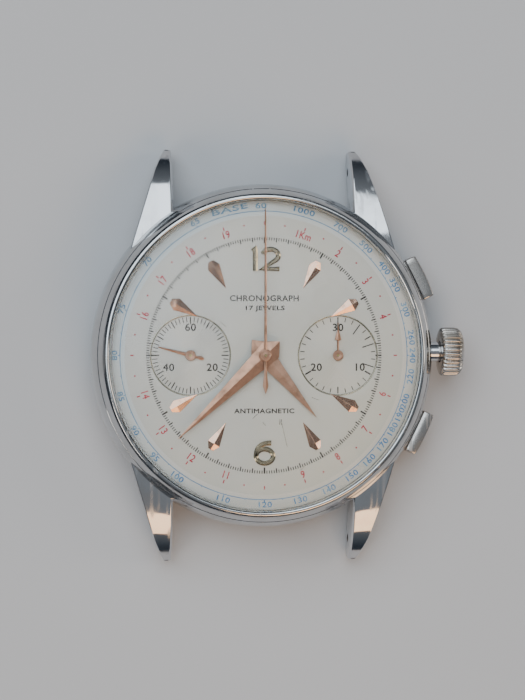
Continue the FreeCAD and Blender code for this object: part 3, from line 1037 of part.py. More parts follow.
keep("pallet_fork", fork.seat(*PALLET, f"({plate_bottom}-1.24)", f"{toward:.6f}"))

wheel_low = f"({bridge_bottom}+0.3)"
balance = Piece("balance_wheel")
balance.add(wheel_low, f"{wheel_low}+balance_rim_height", circles=[
    ("0", "0", "balance_radius"), ("0", "0", "balance_radius-balance_rim")])
balance.add(f"{wheel_low}+0.3", f"{wheel_low}+0.5", [box("0-balance_radius+balance_rim/2",
                                                     "balance_radius-balance_rim/2", "0-0.3", "0.3")])
balance.add(f"{bridge_bottom}+0.02", f"{plate_bottom}-0.02", circles=[("0", "0", "arbor_radius")])
balance.add(f"{bridge_bottom}-0.28", f"{plate_bottom}+0.28", circles=[("0", "0", "pivot_radius")])
balance.add(f"{plate_bottom}-1.5", f"{plate_bottom}-1.3", circles=[("0", "0", "roller_radius")])
balance.add(f"{plate_bottom}-1.3", f"{plate_bottom}-1.08", circles=[("0-0.47", "0.3", "jewel_pin")])
balance.add(f"{bridge_bottom}+0.06", f"{wheel_low}+0.3", circles=[("0", "0", "0.4")])
keep("balance_wheel", balance.seat(*BALANCE, "0"))
keep("hairspring", joined("hairspring", [
    raised(spiral(0.46, 2.2, 9, 0.05), *BALANCE, f"{bridge_bottom}+0.09", f"{bridge_bottom}+0.2"),
    round_bar(f"{BALANCE[0]}+2.35", BALANCE[1], bridge_bottom, f"{bridge_bottom}+0.2", "0.14")]))

# ---------------------------------------------------------------- chronograph work

chrono_wheel_low = f"({bridge_bottom}-0.7)"
counter_low = f"({bridge_bottom}-0.95)"
chrono_count, coupling_count = count("chrono_teeth"), count("coupling_teeth")
finger = closed([(-0.5, -0.28), (number("finger_reach"), -0.1), (number("finger_reach"), 0.1), (-0.5, 0.28)])
runner_low = f"({chrono_low}+0.05)"
keep("chrono_runner", wheel("chrono_runner", CENTRE, chrono_wheel_low, f"{chrono_wheel_low}+0.15",
                            "chrono_teeth", "chrono_module", 0.0, [
    (runner_low, f"{sweep_low}+0.26", "sweep_arbor"),
    (f"{chrono_high}+0.05", chrono_wheel_low, "0.3"),
    (counter_low, f"{counter_low}+0.2", finger),
    (lever_low, f"{lever_low}+0.23", heart(number("heart_radius")))], spokes=4, hub=0.7))
keep("minute_runner", wheel("minute_runner", MINUTES, counter_low, f"{counter_low}+0.2",
                            "counter_teeth", "counter_module", 0.0, [
    (runner_low, f"{dial_top}+0.2", "arbor_radius"),
    (lever_low, f"{lever_low}+0.23", heart(number("heart_radius-0.2")))], spokes=4, hub=0.6, rim=0.4))
counter_phase = mesh_phase(MINUTES, count("counter_teeth"), 0.0, COUNTER, count("counter_idler_teeth"))
keep("counter_idler", wheel("counter_idler", COUNTER, counter_low, f"{counter_low}+0.2",
                            "counter_idler_teeth", "counter_module", counter_phase, [
    (runner_low, f"{bridge_bottom}+0.38", "arbor_radius")], spokes=4, hub=0.5, rim=0.4))
coupling_phase = mesh_phase(FOURTH, chrono_count, 0.0, COUPLING, coupling_count)
keep("coupling_wheel", wheel("coupling_wheel", COUPLING, chrono_wheel_low, f"{chrono_wheel_low}+0.15",
                             "coupling_teeth", "chrono_module", coupling_phase, bore="0.22", spokes=0))
lever = Piece("coupling_lever")
lever.add(lever_low, lever_high, [bar_between(*coupling_post, *COUPLING, "0.45", "0.3")])
lever.add(lever_low, lever_high, circles=[(*coupling_post, "0.65")])
lever.add(lever_low, lever_high, circles=[(*COUPLING, "0.5")])
lever.add(lever_high, f"{chrono_wheel_low}+0.25", circles=[(*COUPLING, "0.2")])
lever.take(lever_low, lever_high, circles=[(*coupling_post, "0.3")])
keep("coupling_lever", lever)
lever = Piece("operating_lever")
tab = polar("(movement_radius-0.4)", "pusher_angle")
claw = ("4.05", "12.3")
lever.add(lever_low, lever_high, [bar_between(*start_post, *tab, "0.5", "0.35")])
lever.add(lever_low, lever_high, [bar_between(*start_post, *claw, "0.5", "0.2")])
lever.add(lever_low, lever_high, circles=[(*start_post, "0.8")])
inner_tab, outer_tab = polar("movement_radius-0.6", "pusher_angle"), polar("movement_radius-0.15", "pusher_angle")
lever.add(lever_low, f"{pusher_z}+0.3", [bar_between(*inner_tab, *outer_tab, "0.6", "0.6")])
lever.take(lever_low, lever_high, circles=[(*start_post, "0.3")])
keep("operating_lever", lever)
lever = Piece("reset_hammer")
tab = polar("(movement_radius-0.4)", "(0-pusher_angle)")
lever.add(lever_low, lever_high, [bar_between(*reset_post, *tab, "0.6", "0.35")])
lever.add(lever_low, lever_high, [bar_between(*reset_post, "2.6", "0.0", "0.55", "0.3")])
lever.add(lever_low, lever_high, [bar_between(*reset_post, "10.75", "0.0", "0.55", "0.3")])
lever.add(lever_low, lever_high, circles=[(*reset_post, "0.9")])
inner_tab = polar("movement_radius-0.6", "(0-pusher_angle)")
outer_tab = polar("movement_radius-0.15", "(0-pusher_angle)")
lever.add(lever_low, f"{pusher_z}+0.3", [bar_between(*inner_tab, *outer_tab, "0.6", "0.6")])
lever.take(lever_low, lever_high, circles=[(*reset_post, "0.3")])
keep("reset_hammer", lever)
keep("chrono_cam", minus("chrono_cam", joined("chrono_cam_solid", [
    raised(hooked(12, 1.3, 1.0, 0.1), *cam_post, lever_low, lever_high),
    round_bar(*cam_post, lever_low, lever_high, "0.8")]),
    [round_bar(*cam_post, f"{lever_low}-1", f"{lever_high}+1", "0.3")]))

# ---------------------------------------------------------------- checks and output

doc.recompute()
for item in doc.Objects:
    if any(word in item.State for word in ("Invalid", "Error")):
        raise SystemExit(f"{item.Label} did not build: {item.State}")
for removed, before in TAKEN:
    if removed.Shape.Volume >= before.Shape.Volume - 1e-6:
        raise SystemExit(f"{removed.Label} removes nothing")
for name, item in PIECES.items():
    if item.Shape.isNull() or not item.Shape.isValid() or not item.Shape.Solids:
        raise SystemExit(f"{name} has no valid shape")
os.makedirs("parts", exist_ok=True)
for name, item in PIECES.items():
    item.Label = name
    item.Shape.exportStep(f"parts/{name}.step")
print(len(PIECES), "pieces written")
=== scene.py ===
import json
import math

import bmesh
import bpy
import numpy as np
from mathutils import Matrix, Vector


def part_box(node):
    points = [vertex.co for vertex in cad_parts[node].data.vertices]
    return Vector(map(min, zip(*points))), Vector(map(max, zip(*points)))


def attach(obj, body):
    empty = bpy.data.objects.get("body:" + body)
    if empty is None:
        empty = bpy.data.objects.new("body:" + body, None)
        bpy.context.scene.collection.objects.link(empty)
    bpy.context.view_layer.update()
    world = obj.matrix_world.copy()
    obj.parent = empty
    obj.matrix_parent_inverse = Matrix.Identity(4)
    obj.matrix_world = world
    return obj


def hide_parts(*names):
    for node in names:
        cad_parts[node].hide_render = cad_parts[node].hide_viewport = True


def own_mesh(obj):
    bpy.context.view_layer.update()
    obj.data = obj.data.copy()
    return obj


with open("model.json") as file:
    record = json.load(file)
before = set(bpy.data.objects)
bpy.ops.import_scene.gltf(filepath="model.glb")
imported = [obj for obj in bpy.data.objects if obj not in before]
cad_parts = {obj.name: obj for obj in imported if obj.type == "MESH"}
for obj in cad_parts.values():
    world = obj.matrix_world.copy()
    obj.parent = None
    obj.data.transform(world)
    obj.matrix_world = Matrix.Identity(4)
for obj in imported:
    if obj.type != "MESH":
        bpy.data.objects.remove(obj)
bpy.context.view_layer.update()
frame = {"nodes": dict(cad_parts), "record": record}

# A wrist chronograph head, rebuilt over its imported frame. Sizes below are in millimetres and
# become metres when a mesh is made. +X is three o'clock, +Y twelve o'clock, +Z the crystal.

MM = 0.001
FULL = 2 * np.pi
# the height of the dial's face, and the distance from the watch's axis to a register's middle
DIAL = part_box("dial")[1].z / MM
REGISTER = 8.1
# the height of a register's floor, and how far a print goes under the face and stands above it
SUNK = DIAL - .08
PRINT_FOOT, PRINT_TOP = .01, .012
# the pushers' angle to three o'clock and height, and half the angle of each one's gap in the band
PUSHER_ANGLE, PUSHER_LEVEL = 26.0, 3.6
SLOT_HALF_ANGLE = 7.75
# the depth of every bump, in metres
BUMP_DEPTH = 0.00001
scene = bpy.context.scene


# ------------------------------------------------------------------ surfaces

def patch(points, wrap_rows=False, wrap_columns=False):
    """Corners and four-sided faces of a grid of points, closed round either way if asked."""
    rows, columns = points.shape[:2]
    index = np.arange(rows * columns).reshape(rows, columns)
    if wrap_rows:
        index = np.vstack([index, index[:1]])
    if wrap_columns:
        index = np.hstack([index, index[:, :1]])
    faces = np.stack([index[:-1, :-1], index[:-1, 1:], index[1:, 1:], index[1:, :-1]], -1)
    return points.reshape(-1, 3), faces.reshape(-1, 4)


def eased(corners, reach, steps=4):
    """A closed outline whose corners become short parabolas that start and end `reach` away."""
    corners = np.asarray(corners, float)
    before, after = np.roll(corners, 1, 0) - corners, np.roll(corners, -1, 0) - corners
    far_before = np.linalg.norm(before, axis=1, keepdims=True)
    far_after = np.linalg.norm(after, axis=1, keepdims=True)
    cut = np.minimum(np.broadcast_to(np.reshape(reach, (-1, 1)), far_before.shape),
                     0.45 * np.minimum(far_before, far_after))
    start, stop = corners + before / far_before * cut, corners + after / far_after * cut
    s = np.linspace(0, 1, steps)[None, :, None]
    curve = (1 - s) ** 2 * start[:, None] + 2 * s * (1 - s) * corners[:, None] + s ** 2 * stop[:, None]
    return curve.reshape(-1, 2)


def turned(profile, centre=(0.0, 0.0), steps=240, closed=True):
    """A profile of (radius, height) carried round an upright axis through the centre: at each
    angle a the corner is (radius cos a, radius sin a, height)."""
    a = np.linspace(0, FULL, steps, endpoint=False)
    r, z = np.asarray(profile, float).T
    points = np.stack([centre[0] + r[:, None] * np.cos(a), centre[1] + r[:, None] * np.sin(a),
                       np.repeat(z[:, None], steps, 1)], -1)
    return patch(points, wrap_rows=closed, wrap_columns=True)


def compass(angle):
    """Unit vectors along and across a line at an angle counted clockwise from twelve."""
    a = np.radians(90 - np.asarray(angle, float))
    return np.stack([np.cos(a), np.sin(a)], -1), np.stack([-np.sin(a), np.cos(a)], -1)


def strokes(angle, inner, outer, width, centre=(0.0, 0.0), base=DIAL, rise=PRINT_TOP):
    """Thin printed bars: each is a box from the inner to the outer radius along its angle."""
    along, across = compass(np.atleast_1d(angle))
    count = len(along)
    r = np.stack([np.broadcast_to(v, count) for v in (inner, outer, outer, inner)], -1)
    w = np.broadcast_to(width, count)[:, None] / 2 * np.array([-1, -1, 1, 1])
    flat = np.array(centre) + r[..., None] * along[:, None] + w[..., None] * across[:, None]
    low = np.concatenate([flat, np.full((count, 4, 1), base - PRINT_FOOT)], -1)
    high = np.concatenate([flat, np.full((count, 4, 1), base + rise)], -1)
    sides = np.array([[3, 2, 1, 0], [4, 5, 6, 7], [0, 1, 5, 4], [1, 2, 6, 5], [2, 3, 7, 6],
                      [3, 0, 4, 7]])
    faces = sides[None] + 8 * np.arange(count)[:, None, None]
    return np.concatenate([low, high], 1).reshape(-1, 3), faces.reshape(-1, 4)


def roof(station, half, angle, centre=(0.0, 0.0), low=0.0, side=0.1, ridge=0.2):
    """A ridged bar: rows are stations along its angle, columns go round a house-shaped section
    of the given half width at each station, and each end closes on its own middle."""
    along, across = compass(angle)
    station, half = np.asarray(station, float), np.asarray(half, float)
    station = np.concatenate([station[:1], station, station[-1:]])
    half = np.concatenate([[0], half, [0]])
    ridge = np.concatenate([[side], np.broadcast_to(ridge, len(half) - 2), [side]])
    offset = half[:, None] * np.array([-1, -1, 0, 1, 1, 0])
    height = np.stack([np.full(len(half), low), np.full(len(half), side), ridge,
                       np.full(len(half), side), np.full(len(half), low), np.full(len(half), low)], -1)
    height[[0, -1]] = (low + side) / 2
    flat = np.array(centre) + station[:, None, None] * along + offset[..., None] * across
    return patch(np.concatenate([flat, height[..., None]], -1), wrap_columns=True)


def ribbon(path, half, low, side, ridge):
    """A raised stroke: a house-shaped section carried along a flat path with mitred turns."""
    path = np.asarray(path, float)
    ahead = np.diff(path, axis=0)
    ahead = ahead / np.linalg.norm(ahead, axis=1, keepdims=True)
    before, after = np.vstack([ahead[:1], ahead]), np.vstack([ahead, ahead[-1:]])
    mean = before + after
    mean = mean / np.linalg.norm(mean, axis=1, keepdims=True)
    stretch = 1 / np.clip((mean * after).sum(1), 0.5, 1)
    across = np.stack([-mean[:, 1], mean[:, 0]], -1)
    wide = half * stretch
    ends = np.concatenate([[0], np.arange(len(path)), [len(path) - 1]])
    offset = wide[ends][:, None] * np.array([-1, -1, -0.35, 0.35, 1, 1])
    offset[[0, -1]] = 0
    height = np.tile([low, side, ridge, ridge, side, low], (len(ends), 1)).astype(float)
    height[[0, -1]] = (low + side) / 2
    flat = path[ends][:, None] + offset[..., None] * across[ends][:, None]
    return patch(np.concatenate([flat, height[..., None]], -1), wrap_columns=True)


def along_radius(profile, angle, height, steps=48):
    """A profile of (distance from the watch's axis, radius) carried round a level line that
    leaves the axis at this angle, counted from three o'clock towards twelve."""
    a = np.linspace(0, FULL, steps, endpoint=False)
    x, r = np.asarray(profile, float).T
    points = np.stack([np.repeat(x[:, None], steps, 1), r[:, None] * np.cos(a),
                       height + r[:, None] * np.sin(a)], -1)
    return spun(patch(points, wrap_columns=True), angle)


def spun(shape, angle):
    """The same patch turned about the watch's axis by an angle from three towards twelve."""
    corners, faces = shape
    a = math.radians(angle)
    turn = np.array([[math.cos(a), -math.sin(a), 0], [math.sin(a), math.cos(a), 0], [0, 0, 1]])
    return corners @ turn.T, faces


def piece(name, shapes, finish, body, nodes, crease=30, edge=0.0):
    """One object from patches, its seams and poles merged and its faces pointing outward."""
    starts = np.cumsum([0] + [len(c) for c, _ in shapes])
    corners = np.concatenate([c for c, _ in shapes]) * MM
    faces = np.concatenate([f + s for (_, f), s in zip(shapes, starts)])
    mesh = bpy.data.meshes.new(name)
    mesh.from_pydata(corners.tolist(), [], faces.tolist())
    work = bmesh.new()
    work.from_mesh(mesh)
    bmesh.ops.remove_doubles(work, verts=work.verts, dist=3e-7)
    bmesh.ops.dissolve_degenerate(work, edges=work.edges, dist=1e-7)
    bmesh.ops.recalc_face_normals(work, faces=work.faces)
    work.to_mesh(mesh)
    work.free()
    return settled(name, mesh, finish, body, nodes, crease, edge)


def settled(name, mesh, finish, body, nodes, crease=30, edge=0.0):
    """The object of a finished mesh, shaded smooth up to the crease angle, on its body."""
    mesh.shade_smooth()
    mesh.set_sharp_from_angle(angle=math.radians(crease))
    mesh.materials.append(finish)
    made = bpy.data.objects.new(name, mesh)
    scene.collection.objects.link(made)
    if edge:
        soft = made.modifiers.new("soft_edge", "BEVEL")
        soft.width, soft.segments, soft.limit_method = edge * MM, 2, "ANGLE"
        soft.angle_limit, soft.harden_normals = math.radians(28), True
    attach(made, body)
    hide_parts(*nodes)
    return made


def lettering(name, entries, finish, body, nodes):
    """Numbers and words on the dial: each entry is (text, height, x, y, turn in degrees, width
    share, base height), made a flat mesh first and then put in its place."""
    bold, size_per_height = 0.02, 1.36
    work = bmesh.new()
    for text, height, x, y, turn, narrow, base in entries:
        curve = bpy.data.curves.new("letters", "FONT")
        curve.body, curve.size = text, height * size_per_height * MM
        curve.extrude = PRINT_TOP / 2 * MM
        curve.align_x, curve.align_y, curve.resolution_u = "CENTER", "CENTER", 3
        curve.space_character, curve.offset = 1.08, bold * MM
        shown = bpy.data.objects.new("letters", curve)
        scene.collection.objects.link(shown)
        mesh = bpy.data.meshes.new_from_object(shown)
        mesh.transform(Matrix.Translation(Vector((x, y, base + PRINT_TOP / 2)) * MM)
                       @ Matrix.Rotation(math.radians(turn), 4, "Z")
                       @ Matrix.Diagonal((narrow, 1, 1, 1)))
        work.from_mesh(mesh)
        bpy.data.objects.remove(shown)
        bpy.data.meshes.remove(mesh)
        bpy.data.curves.remove(curve)
    bmesh.ops.triangulate(work, faces=work.faces)
    mesh = bpy.data.meshes.new(name)
    work.to_mesh(mesh)
    work.free()
    return settled(name, mesh, finish, body, nodes)


def ring_words(pairs, radius, height, narrow):
    """Entries for numbers round the dial, with their tops outward above the middle and inward
    below it, so that all of them read upright."""
    entries = []
    for text, angle in pairs:
        along, _ = compass(angle)
        lower = 90 < angle % 360 < 270
        turn = -angle + (180 if lower else 0)
        entries.append((text, height, *(radius * along), turn, narrow, DIAL))
    return entries


# ------------------------------------------------------------------ finishes

def effect(name, inputs, outputs):
    """An empty node group with named sockets, and its two ends."""
    tree = bpy.data.node_groups.new(name, "ShaderNodeTree")
    for label, kind, value in inputs:
        tree.interface.new_socket(label, in_out="INPUT", socket_type=kind).default_value = value
    for label, kind in outputs:
        tree.interface.new_socket(label, in_out="OUTPUT", socket_type=kind)
    return tree, tree.nodes.new("NodeGroupInput"), tree.nodes.new("NodeGroupOutput")


def node(tree, kind, values=(), **settings):
    """A node with its settings, and each of its inputs either linked or set."""
    made = tree.nodes.new(kind)
    for key, value in settings.items():
        setattr(made, key, value)
    for key, value in dict(values).items():
        if isinstance(value, bpy.types.NodeSocket):
            tree.links.new(value, made.inputs[key])
        else:
            made.inputs[key].default_value = value
    return made


def maths(tree, operation, a, b=0.0, clamp=False):
    """The result of one operation on one or two values."""
    return node(tree, "ShaderNodeMath", {0: a, 1: b}, operation=operation, use_clamp=clamp).outputs[0]


def spread(tree, value, low, high, to_low=0.0, to_high=1.0):
    """A value carried from the range low..high to another range."""
    return node(tree, "ShaderNodeMapRange", {"Value": value, "From Min": low, "From Max": high,
                                             "To Min": to_low, "To Max": to_high}).outputs[0]


FLOAT, VECTOR = "NodeSocketFloat", "NodeSocketVector"

# fine scratches: three stretched noises at different angles, narrowed to thin lines
scratches, start, end = effect("hairline_scratches", [("Amount", FLOAT, 1.0)],
                               [("Lines", FLOAT), ("Height", FLOAT)])
place = node(scratches, "ShaderNodeTexCoord").outputs["Object"]
lines = []
for turn, size in ((0.6, 900.0), (2.1, 1300.0), (1.3, 700.0)):
    bent = node(scratches, "ShaderNodeMapping", {"Vector": place, "Rotation": (0.3, 0.2, turn),
                                                 "Scale": (size, size * 0.035, size)}).outputs[0]
    grain = node(scratches, "ShaderNodeTexNoise",
                 {"Vector": bent, "Scale": 1.0, "Detail": 2.0}).outputs[0]
    lines.append(spread(scratches, grain, 0.63, 0.72))
strongest = maths(scratches, "MAXIMUM", maths(scratches, "MAXIMUM", lines[0], lines[1]), lines[2])
kept = maths(scratches, "MULTIPLY", strongest, start.outputs["Amount"])
scratches.links.new(kept, end.inputs["Lines"])
scratches.links.new(maths(scratches, "MULTIPLY", kept, -1.0), end.inputs["Height"])

# blotches: one soft, rough-edged noise, for grease, ageing and tarnish
blotches, start, end = effect("age_blotches", [("Scale", FLOAT, 200.0), ("Low", FLOAT, 0.45),
                                               ("High", FLOAT, 0.62)], [("Mask", FLOAT)])
place = node(blotches, "ShaderNodeTexCoord").outputs["Object"]
wide = node(blotches, "ShaderNodeTexNoise", {"Vector": place, "Scale": start.outputs["Scale"],
                                             "Detail": 6.0, "Roughness": 0.6}).outputs[0]
mask = node(blotches, "ShaderNodeMapRange", {"Value": wide, "From Min": start.outputs["Low"],
                                             "From Max": start.outputs["High"]}).outputs[0]
blotches.links.new(mask, end.inputs["Mask"])

# rings: fine concentric cuts about an upright axis, out to a reach
rings, start, end = effect("turned_rings",
                           [("Centre", VECTOR, (0, 0, 0)), ("Pitch", FLOAT, 0.00011), ("Reach", FLOAT, 0.1)],
                           [("Height", FLOAT), ("Inside", FLOAT)])
place = node(rings, "ShaderNodeTexCoord").outputs["Object"]
away = node(rings, "ShaderNodeVectorMath", {0: place, 1: start.outputs["Centre"]},
            operation="SUBTRACT").outputs[0]
flat = node(rings, "ShaderNodeVectorMath", {0: away, 1: (1.0, 1.0, 0.0)},
            operation="MULTIPLY").outputs[0]
far = node(rings, "ShaderNodeVectorMath", {0: flat}, operation="LENGTH").outputs["Value"]
cuts = maths(rings, "DIVIDE", far, start.outputs["Pitch"])
wave = maths(rings, "SINE", maths(rings, "MULTIPLY", cuts, FULL))
inside = maths(rings, "LESS_THAN", far, start.outputs["Reach"])
rings.links.new(maths(rings, "MULTIPLY", wave, inside), end.inputs["Height"])
rings.links.new(inside, end.inputs["Inside"])


def finish(name, **fixed):
    """A material with a Principled shader whose unchanging values sit on its own sockets."""
    made = bpy.data.materials.new(name)
    made.use_nodes = True
    shader = made.node_tree.nodes["Principled BSDF"]
    for key, value in fixed.items():
        shader.inputs[key.replace("_", " ")].default_value = value
    return made, made.node_tree, shader


def use(tree, group, **values):
    """A node group placed in a material with its own values."""
    return node(tree, "ShaderNodeGroup", values, node_tree=group)


def blend_colour(tree, share, first, second):
    """A colour between two, by a share that changes over the surface."""
    made = node(tree, "ShaderNodeMix", data_type="RGBA")
    tree.links.new(share, made.inputs[0])
    for socket, value in ((made.inputs[6], first), (made.inputs[7], second)):
        if isinstance(value, bpy.types.NodeSocket):
            tree.links.new(value, socket)
        else:
            socket.default_value = (*value, 1)
    return made.outputs[2]


def bumped(tree, shader, height, strength):
    """A height that feeds the shader's normal."""
    made = node(tree, "ShaderNodeBump", {"Height": height, "Strength": strength, "Distance": BUMP_DEPTH})
    tree.links.new(made.outputs[0], shader.inputs["Normal"])


def metal(name, bright, dull, smooth, rough, scratch=0.6, blot=(220.0, 0.42, 0.68), ring=None,
          ring_strength=0.0):
    """Metal whose colour and gloss wander with grease marks, with scratches and turned rings."""
    made, tree, shader = finish(name, Metallic=1.0)
    marks = use(tree, blotches, Scale=blot[0], Low=blot[1], High=blot[2]).outputs["Mask"]
    lines = use(tree, scratches, Amount=1.0)
    tree.links.new(blend_colour(tree, marks, bright, dull), shader.inputs["Base Color"])
    gloss = maths(tree, "ADD", spread(tree, marks, 0.0, 1.0, smooth, rough),
                  maths(tree, "MULTIPLY", lines.outputs["Lines"], 0.16 * scratch))
    tree.links.new(gloss, shader.inputs["Roughness"])
    if ring:
        cut = use(tree, rings, Centre=ring[0], Pitch=ring[1], Reach=ring[2]).outputs["Height"]
        bumped(tree, shader, cut, ring_strength)
    else:
        bumped(tree, shader, lines.outputs["Height"], 0.10 * scratch)
    return made


steel = metal("polished_steel", (0.66, 0.67, 0.69), (0.56, 0.56, 0.57), 0.07, 0.17, scratch=1.0)
# painted shade: the band and bezel steel is a darker copy of the case steel, standing in for the dark
# reflections on the band's shoulder; its blotches and scratches are real wear
band_steel = metal("worn_band_steel_painted_dark", (0.58, 0.59, 0.60), (0.46, 0.46, 0.455), 0.08, 0.18, scratch=1.2)
pusher_steel = metal("brushed_pusher_steel", (0.58, 0.56, 0.54), (0.44, 0.41, 0.38), 0.2, 0.32, scratch=1.5)
crown_steel = metal("worn_crown_steel", (0.64, 0.63, 0.62), (0.44, 0.40, 0.35), 0.12, 0.3, scratch=1.0)
back_steel = metal("turned_back_steel", (0.6, 0.6, 0.61), (0.5, 0.5, 0.5), 0.2, 0.3,
                   ring=((0, 0, 0), 0.00009, 0.0138), ring_strength=0.25)
gold = metal("worn_rose_gold", (0.48, 0.28, 0.195), (0.24, 0.145, 0.10), 0.3, 0.48, scratch=1.2,
             blot=(620.0, 0.44, 0.70))
rim_metal = metal("register_rim_metal", (0.44, 0.42, 0.34), (0.24, 0.22, 0.16), 0.18, 0.35, scratch=0.5,
                  blot=(900.0, 0.5, 0.75))
marker_gold = metal("marker_rose_gold", (0.78, 0.50, 0.37), (0.42, 0.26, 0.19), 0.09, 0.22, scratch=0.6,
                    blot=(900.0, 0.5, 0.75))
numeral_gold = metal("numeral_gilt", (0.52, 0.45, 0.32), (0.36, 0.30, 0.20), 0.2, 0.32, scratch=0.2,
                     blot=(900.0, 0.5, 0.75))
gilt = metal("gilt_plate", (0.78, 0.66, 0.40), (0.62, 0.50, 0.28), 0.24, 0.36, blot=(300.0, 0.4, 0.7))
brass = metal("wheel_brass", (0.82, 0.66, 0.34), (0.60, 0.45, 0.2), 0.16, 0.3)
ground = metal("ground_steel", (0.55, 0.56, 0.58), (0.42, 0.43, 0.45), 0.2, 0.34, scratch=1.4)
spring = metal("spring_steel", (0.30, 0.35, 0.44), (0.2, 0.22, 0.26), 0.16, 0.3)

crystal_finish, tree, shader = finish("clear_acrylic", Metallic=0.0, IOR=1.2, Transmission_Weight=1.0)
tone = use(tree, blotches, Scale=90.0, Low=0.4, High=0.7).outputs["Mask"]
tint = blend_colour(tree, tone, (0.985, 0.985, 0.98), (0.96, 0.955, 0.935))
tree.links.new(tint, shader.inputs["Base Color"])
lines = use(tree, scratches, Amount=1.0).outputs["Lines"]
tree.links.new(spread(tree, lines, 0.0, 1.0, 0.0, 0.05), shader.inputs["Roughness"])
clear = node(tree, "ShaderNodeBsdfTransparent", {"Color": (0.97, 0.97, 0.96, 1)})
lamp = node(tree, "ShaderNodeLightPath").outputs["Is Shadow Ray"]
through = node(tree, "ShaderNodeMixShader", {0: lamp, 1: shader.outputs[0], 2: clear.outputs[0]})
tree.links.new(through.outputs[0], tree.nodes["Material Output"].inputs["Surface"])

dial_finish, tree, shader = finish("aged_silver_dial", Metallic=0.35, Specular_IOR_Level=0.35)
cream = use(tree, blotches, Scale=70.0, Low=0.35, High=0.7).outputs["Mask"]
spots = use(tree, blotches, Scale=1500.0, Low=0.70, High=0.78).outputs["Mask"]
place = node(tree, "ShaderNodeTexCoord").outputs["Object"]
split = node(tree, "ShaderNodeSeparateXYZ", {0: place})
# painted light: the dial's colour is tilted from bluish at the upper left, towards the bluish window lamp, to
# warm at the lower right, under the orange room lamp
slant = maths(tree, "SUBTRACT", split.outputs[0], split.outputs[1])
painted_lamp_tint = spread(tree, slant, -0.022, 0.022)
# this mixes seven tenths of that painted lamp tint with three tenths of the dial's real cream tone
painted_tint_and_cream = maths(tree, "ADD", maths(tree, "MULTIPLY", painted_lamp_tint, 0.7), maths(tree, "MULTIPLY", cream, 0.3),
               clamp=True)
base = blend_colour(tree, painted_tint_and_cream, (0.44, 0.465, 0.47), (0.48, 0.465, 0.405))
outer = maths(tree, "SUBTRACT", 1.0,
              use(tree, rings, Centre=(0, 0, 0), Reach=0.0153).outputs["Inside"])
# the outer ring is lighter and carries the same painted lamp tint, bluish at the upper left and warm at the
# lower right
rim = blend_colour(tree, painted_lamp_tint, (0.46, 0.55, 0.61), (0.58, 0.53, 0.46))
base = blend_colour(tree, maths(tree, "MULTIPLY", outer, 0.75), base, rim)
speck = maths(tree, "MULTIPLY", spots, 0.5)
tree.links.new(blend_colour(tree, speck, base, (0.42, 0.36, 0.28)), shader.inputs["Base Color"])
fine = node(tree, "ShaderNodeTexNoise", {"Vector": place, "Scale": 9000.0, "Detail": 2.0}).outputs[0]
tree.links.new(spread(tree, cream, 0.0, 1.0, 0.38, 0.5), shader.inputs["Roughness"])
left = use(tree, rings, Centre=(-REGISTER * MM, 0, 0), Pitch=0.00013, Reach=0.0042).outputs["Height"]
right = use(tree, rings, Centre=(REGISTER * MM, 0, 0), Pitch=0.00013, Reach=0.0042).outputs["Height"]
grain = maths(tree, "ADD", maths(tree, "ADD", left, right), maths(tree, "MULTIPLY", fine, 0.16))
bumped(tree, shader, grain, 0.75)


def ink(name, strong, faded, low=0.5, high=0.72):
    """Printing ink, rubbed thin in patches."""
    made, tree, shader = finish(name, Metallic=0.0, Specular_IOR_Level=0.3)
    rub = use(tree, blotches, Scale=1400.0, Low=low, High=high).outputs["Mask"]
    tree.links.new(blend_colour(tree, rub, strong, faded), shader.inputs["Base Color"])
    tree.links.new(spread(tree, rub, 0.0, 1.0, 0.45, 0.6), shader.inputs["Roughness"])
    return made


black_ink = ink("black_print", (0.018, 0.017, 0.016), (0.10, 0.095, 0.09))
blue_ink = ink("blue_print", (0.05, 0.17, 0.36), (0.22, 0.36, 0.48), 0.42, 0.7)
red_ink = ink("red_print", (0.34, 0.02, 0.045), (0.48, 0.12, 0.13))

ruby, tree, shader = finish("synthetic_ruby", Metallic=0.0, IOR=1.76)
cloud = use(tree, blotches, Scale=900.0, Low=0.4, High=0.7).outputs["Mask"]
tree.links.new(blend_colour(tree, cloud, (0.55, 0.02, 0.07), (0.72, 0.08, 0.16)),
               shader.inputs["Base Color"])
tree.links.new(spread(tree, cloud, 0.0, 1.0, 0.08, 0.16), shader.inputs["Roughness"])

FINISH = {"case_steel": steel, "crystal": crystal_finish, "dial_silver": dial_finish, "rose_gold": gold,
          "gilt_plates": gilt, "wheel_brass": brass, "steel_work": ground, "spring_steel": spring,
          "jewel_red": ruby}
for part in frame["record"]["subparts"]:
    shown = frame["nodes"][part["node"]]
    shown.data.materials.clear()
    shown.data.materials.append(FINISH[part["material_slot"]])


# ------------------------------------------------------------------ case

def flank_radius(z):
    """The band's side: widest from 4.2 to 4.6 high, less the cube of the way down to its foot and
    the 2.4th power of the way up to its shoulder."""
    widest, foot, shoulder = 19.0, 0.9, 0.65
    low, high = np.clip((4.2 - z) / 2.6, 0, 1), np.clip((z - 4.6) / 3.0, 0, 1)
    return widest - foot * low ** 3 - shoulder * high ** 2.4


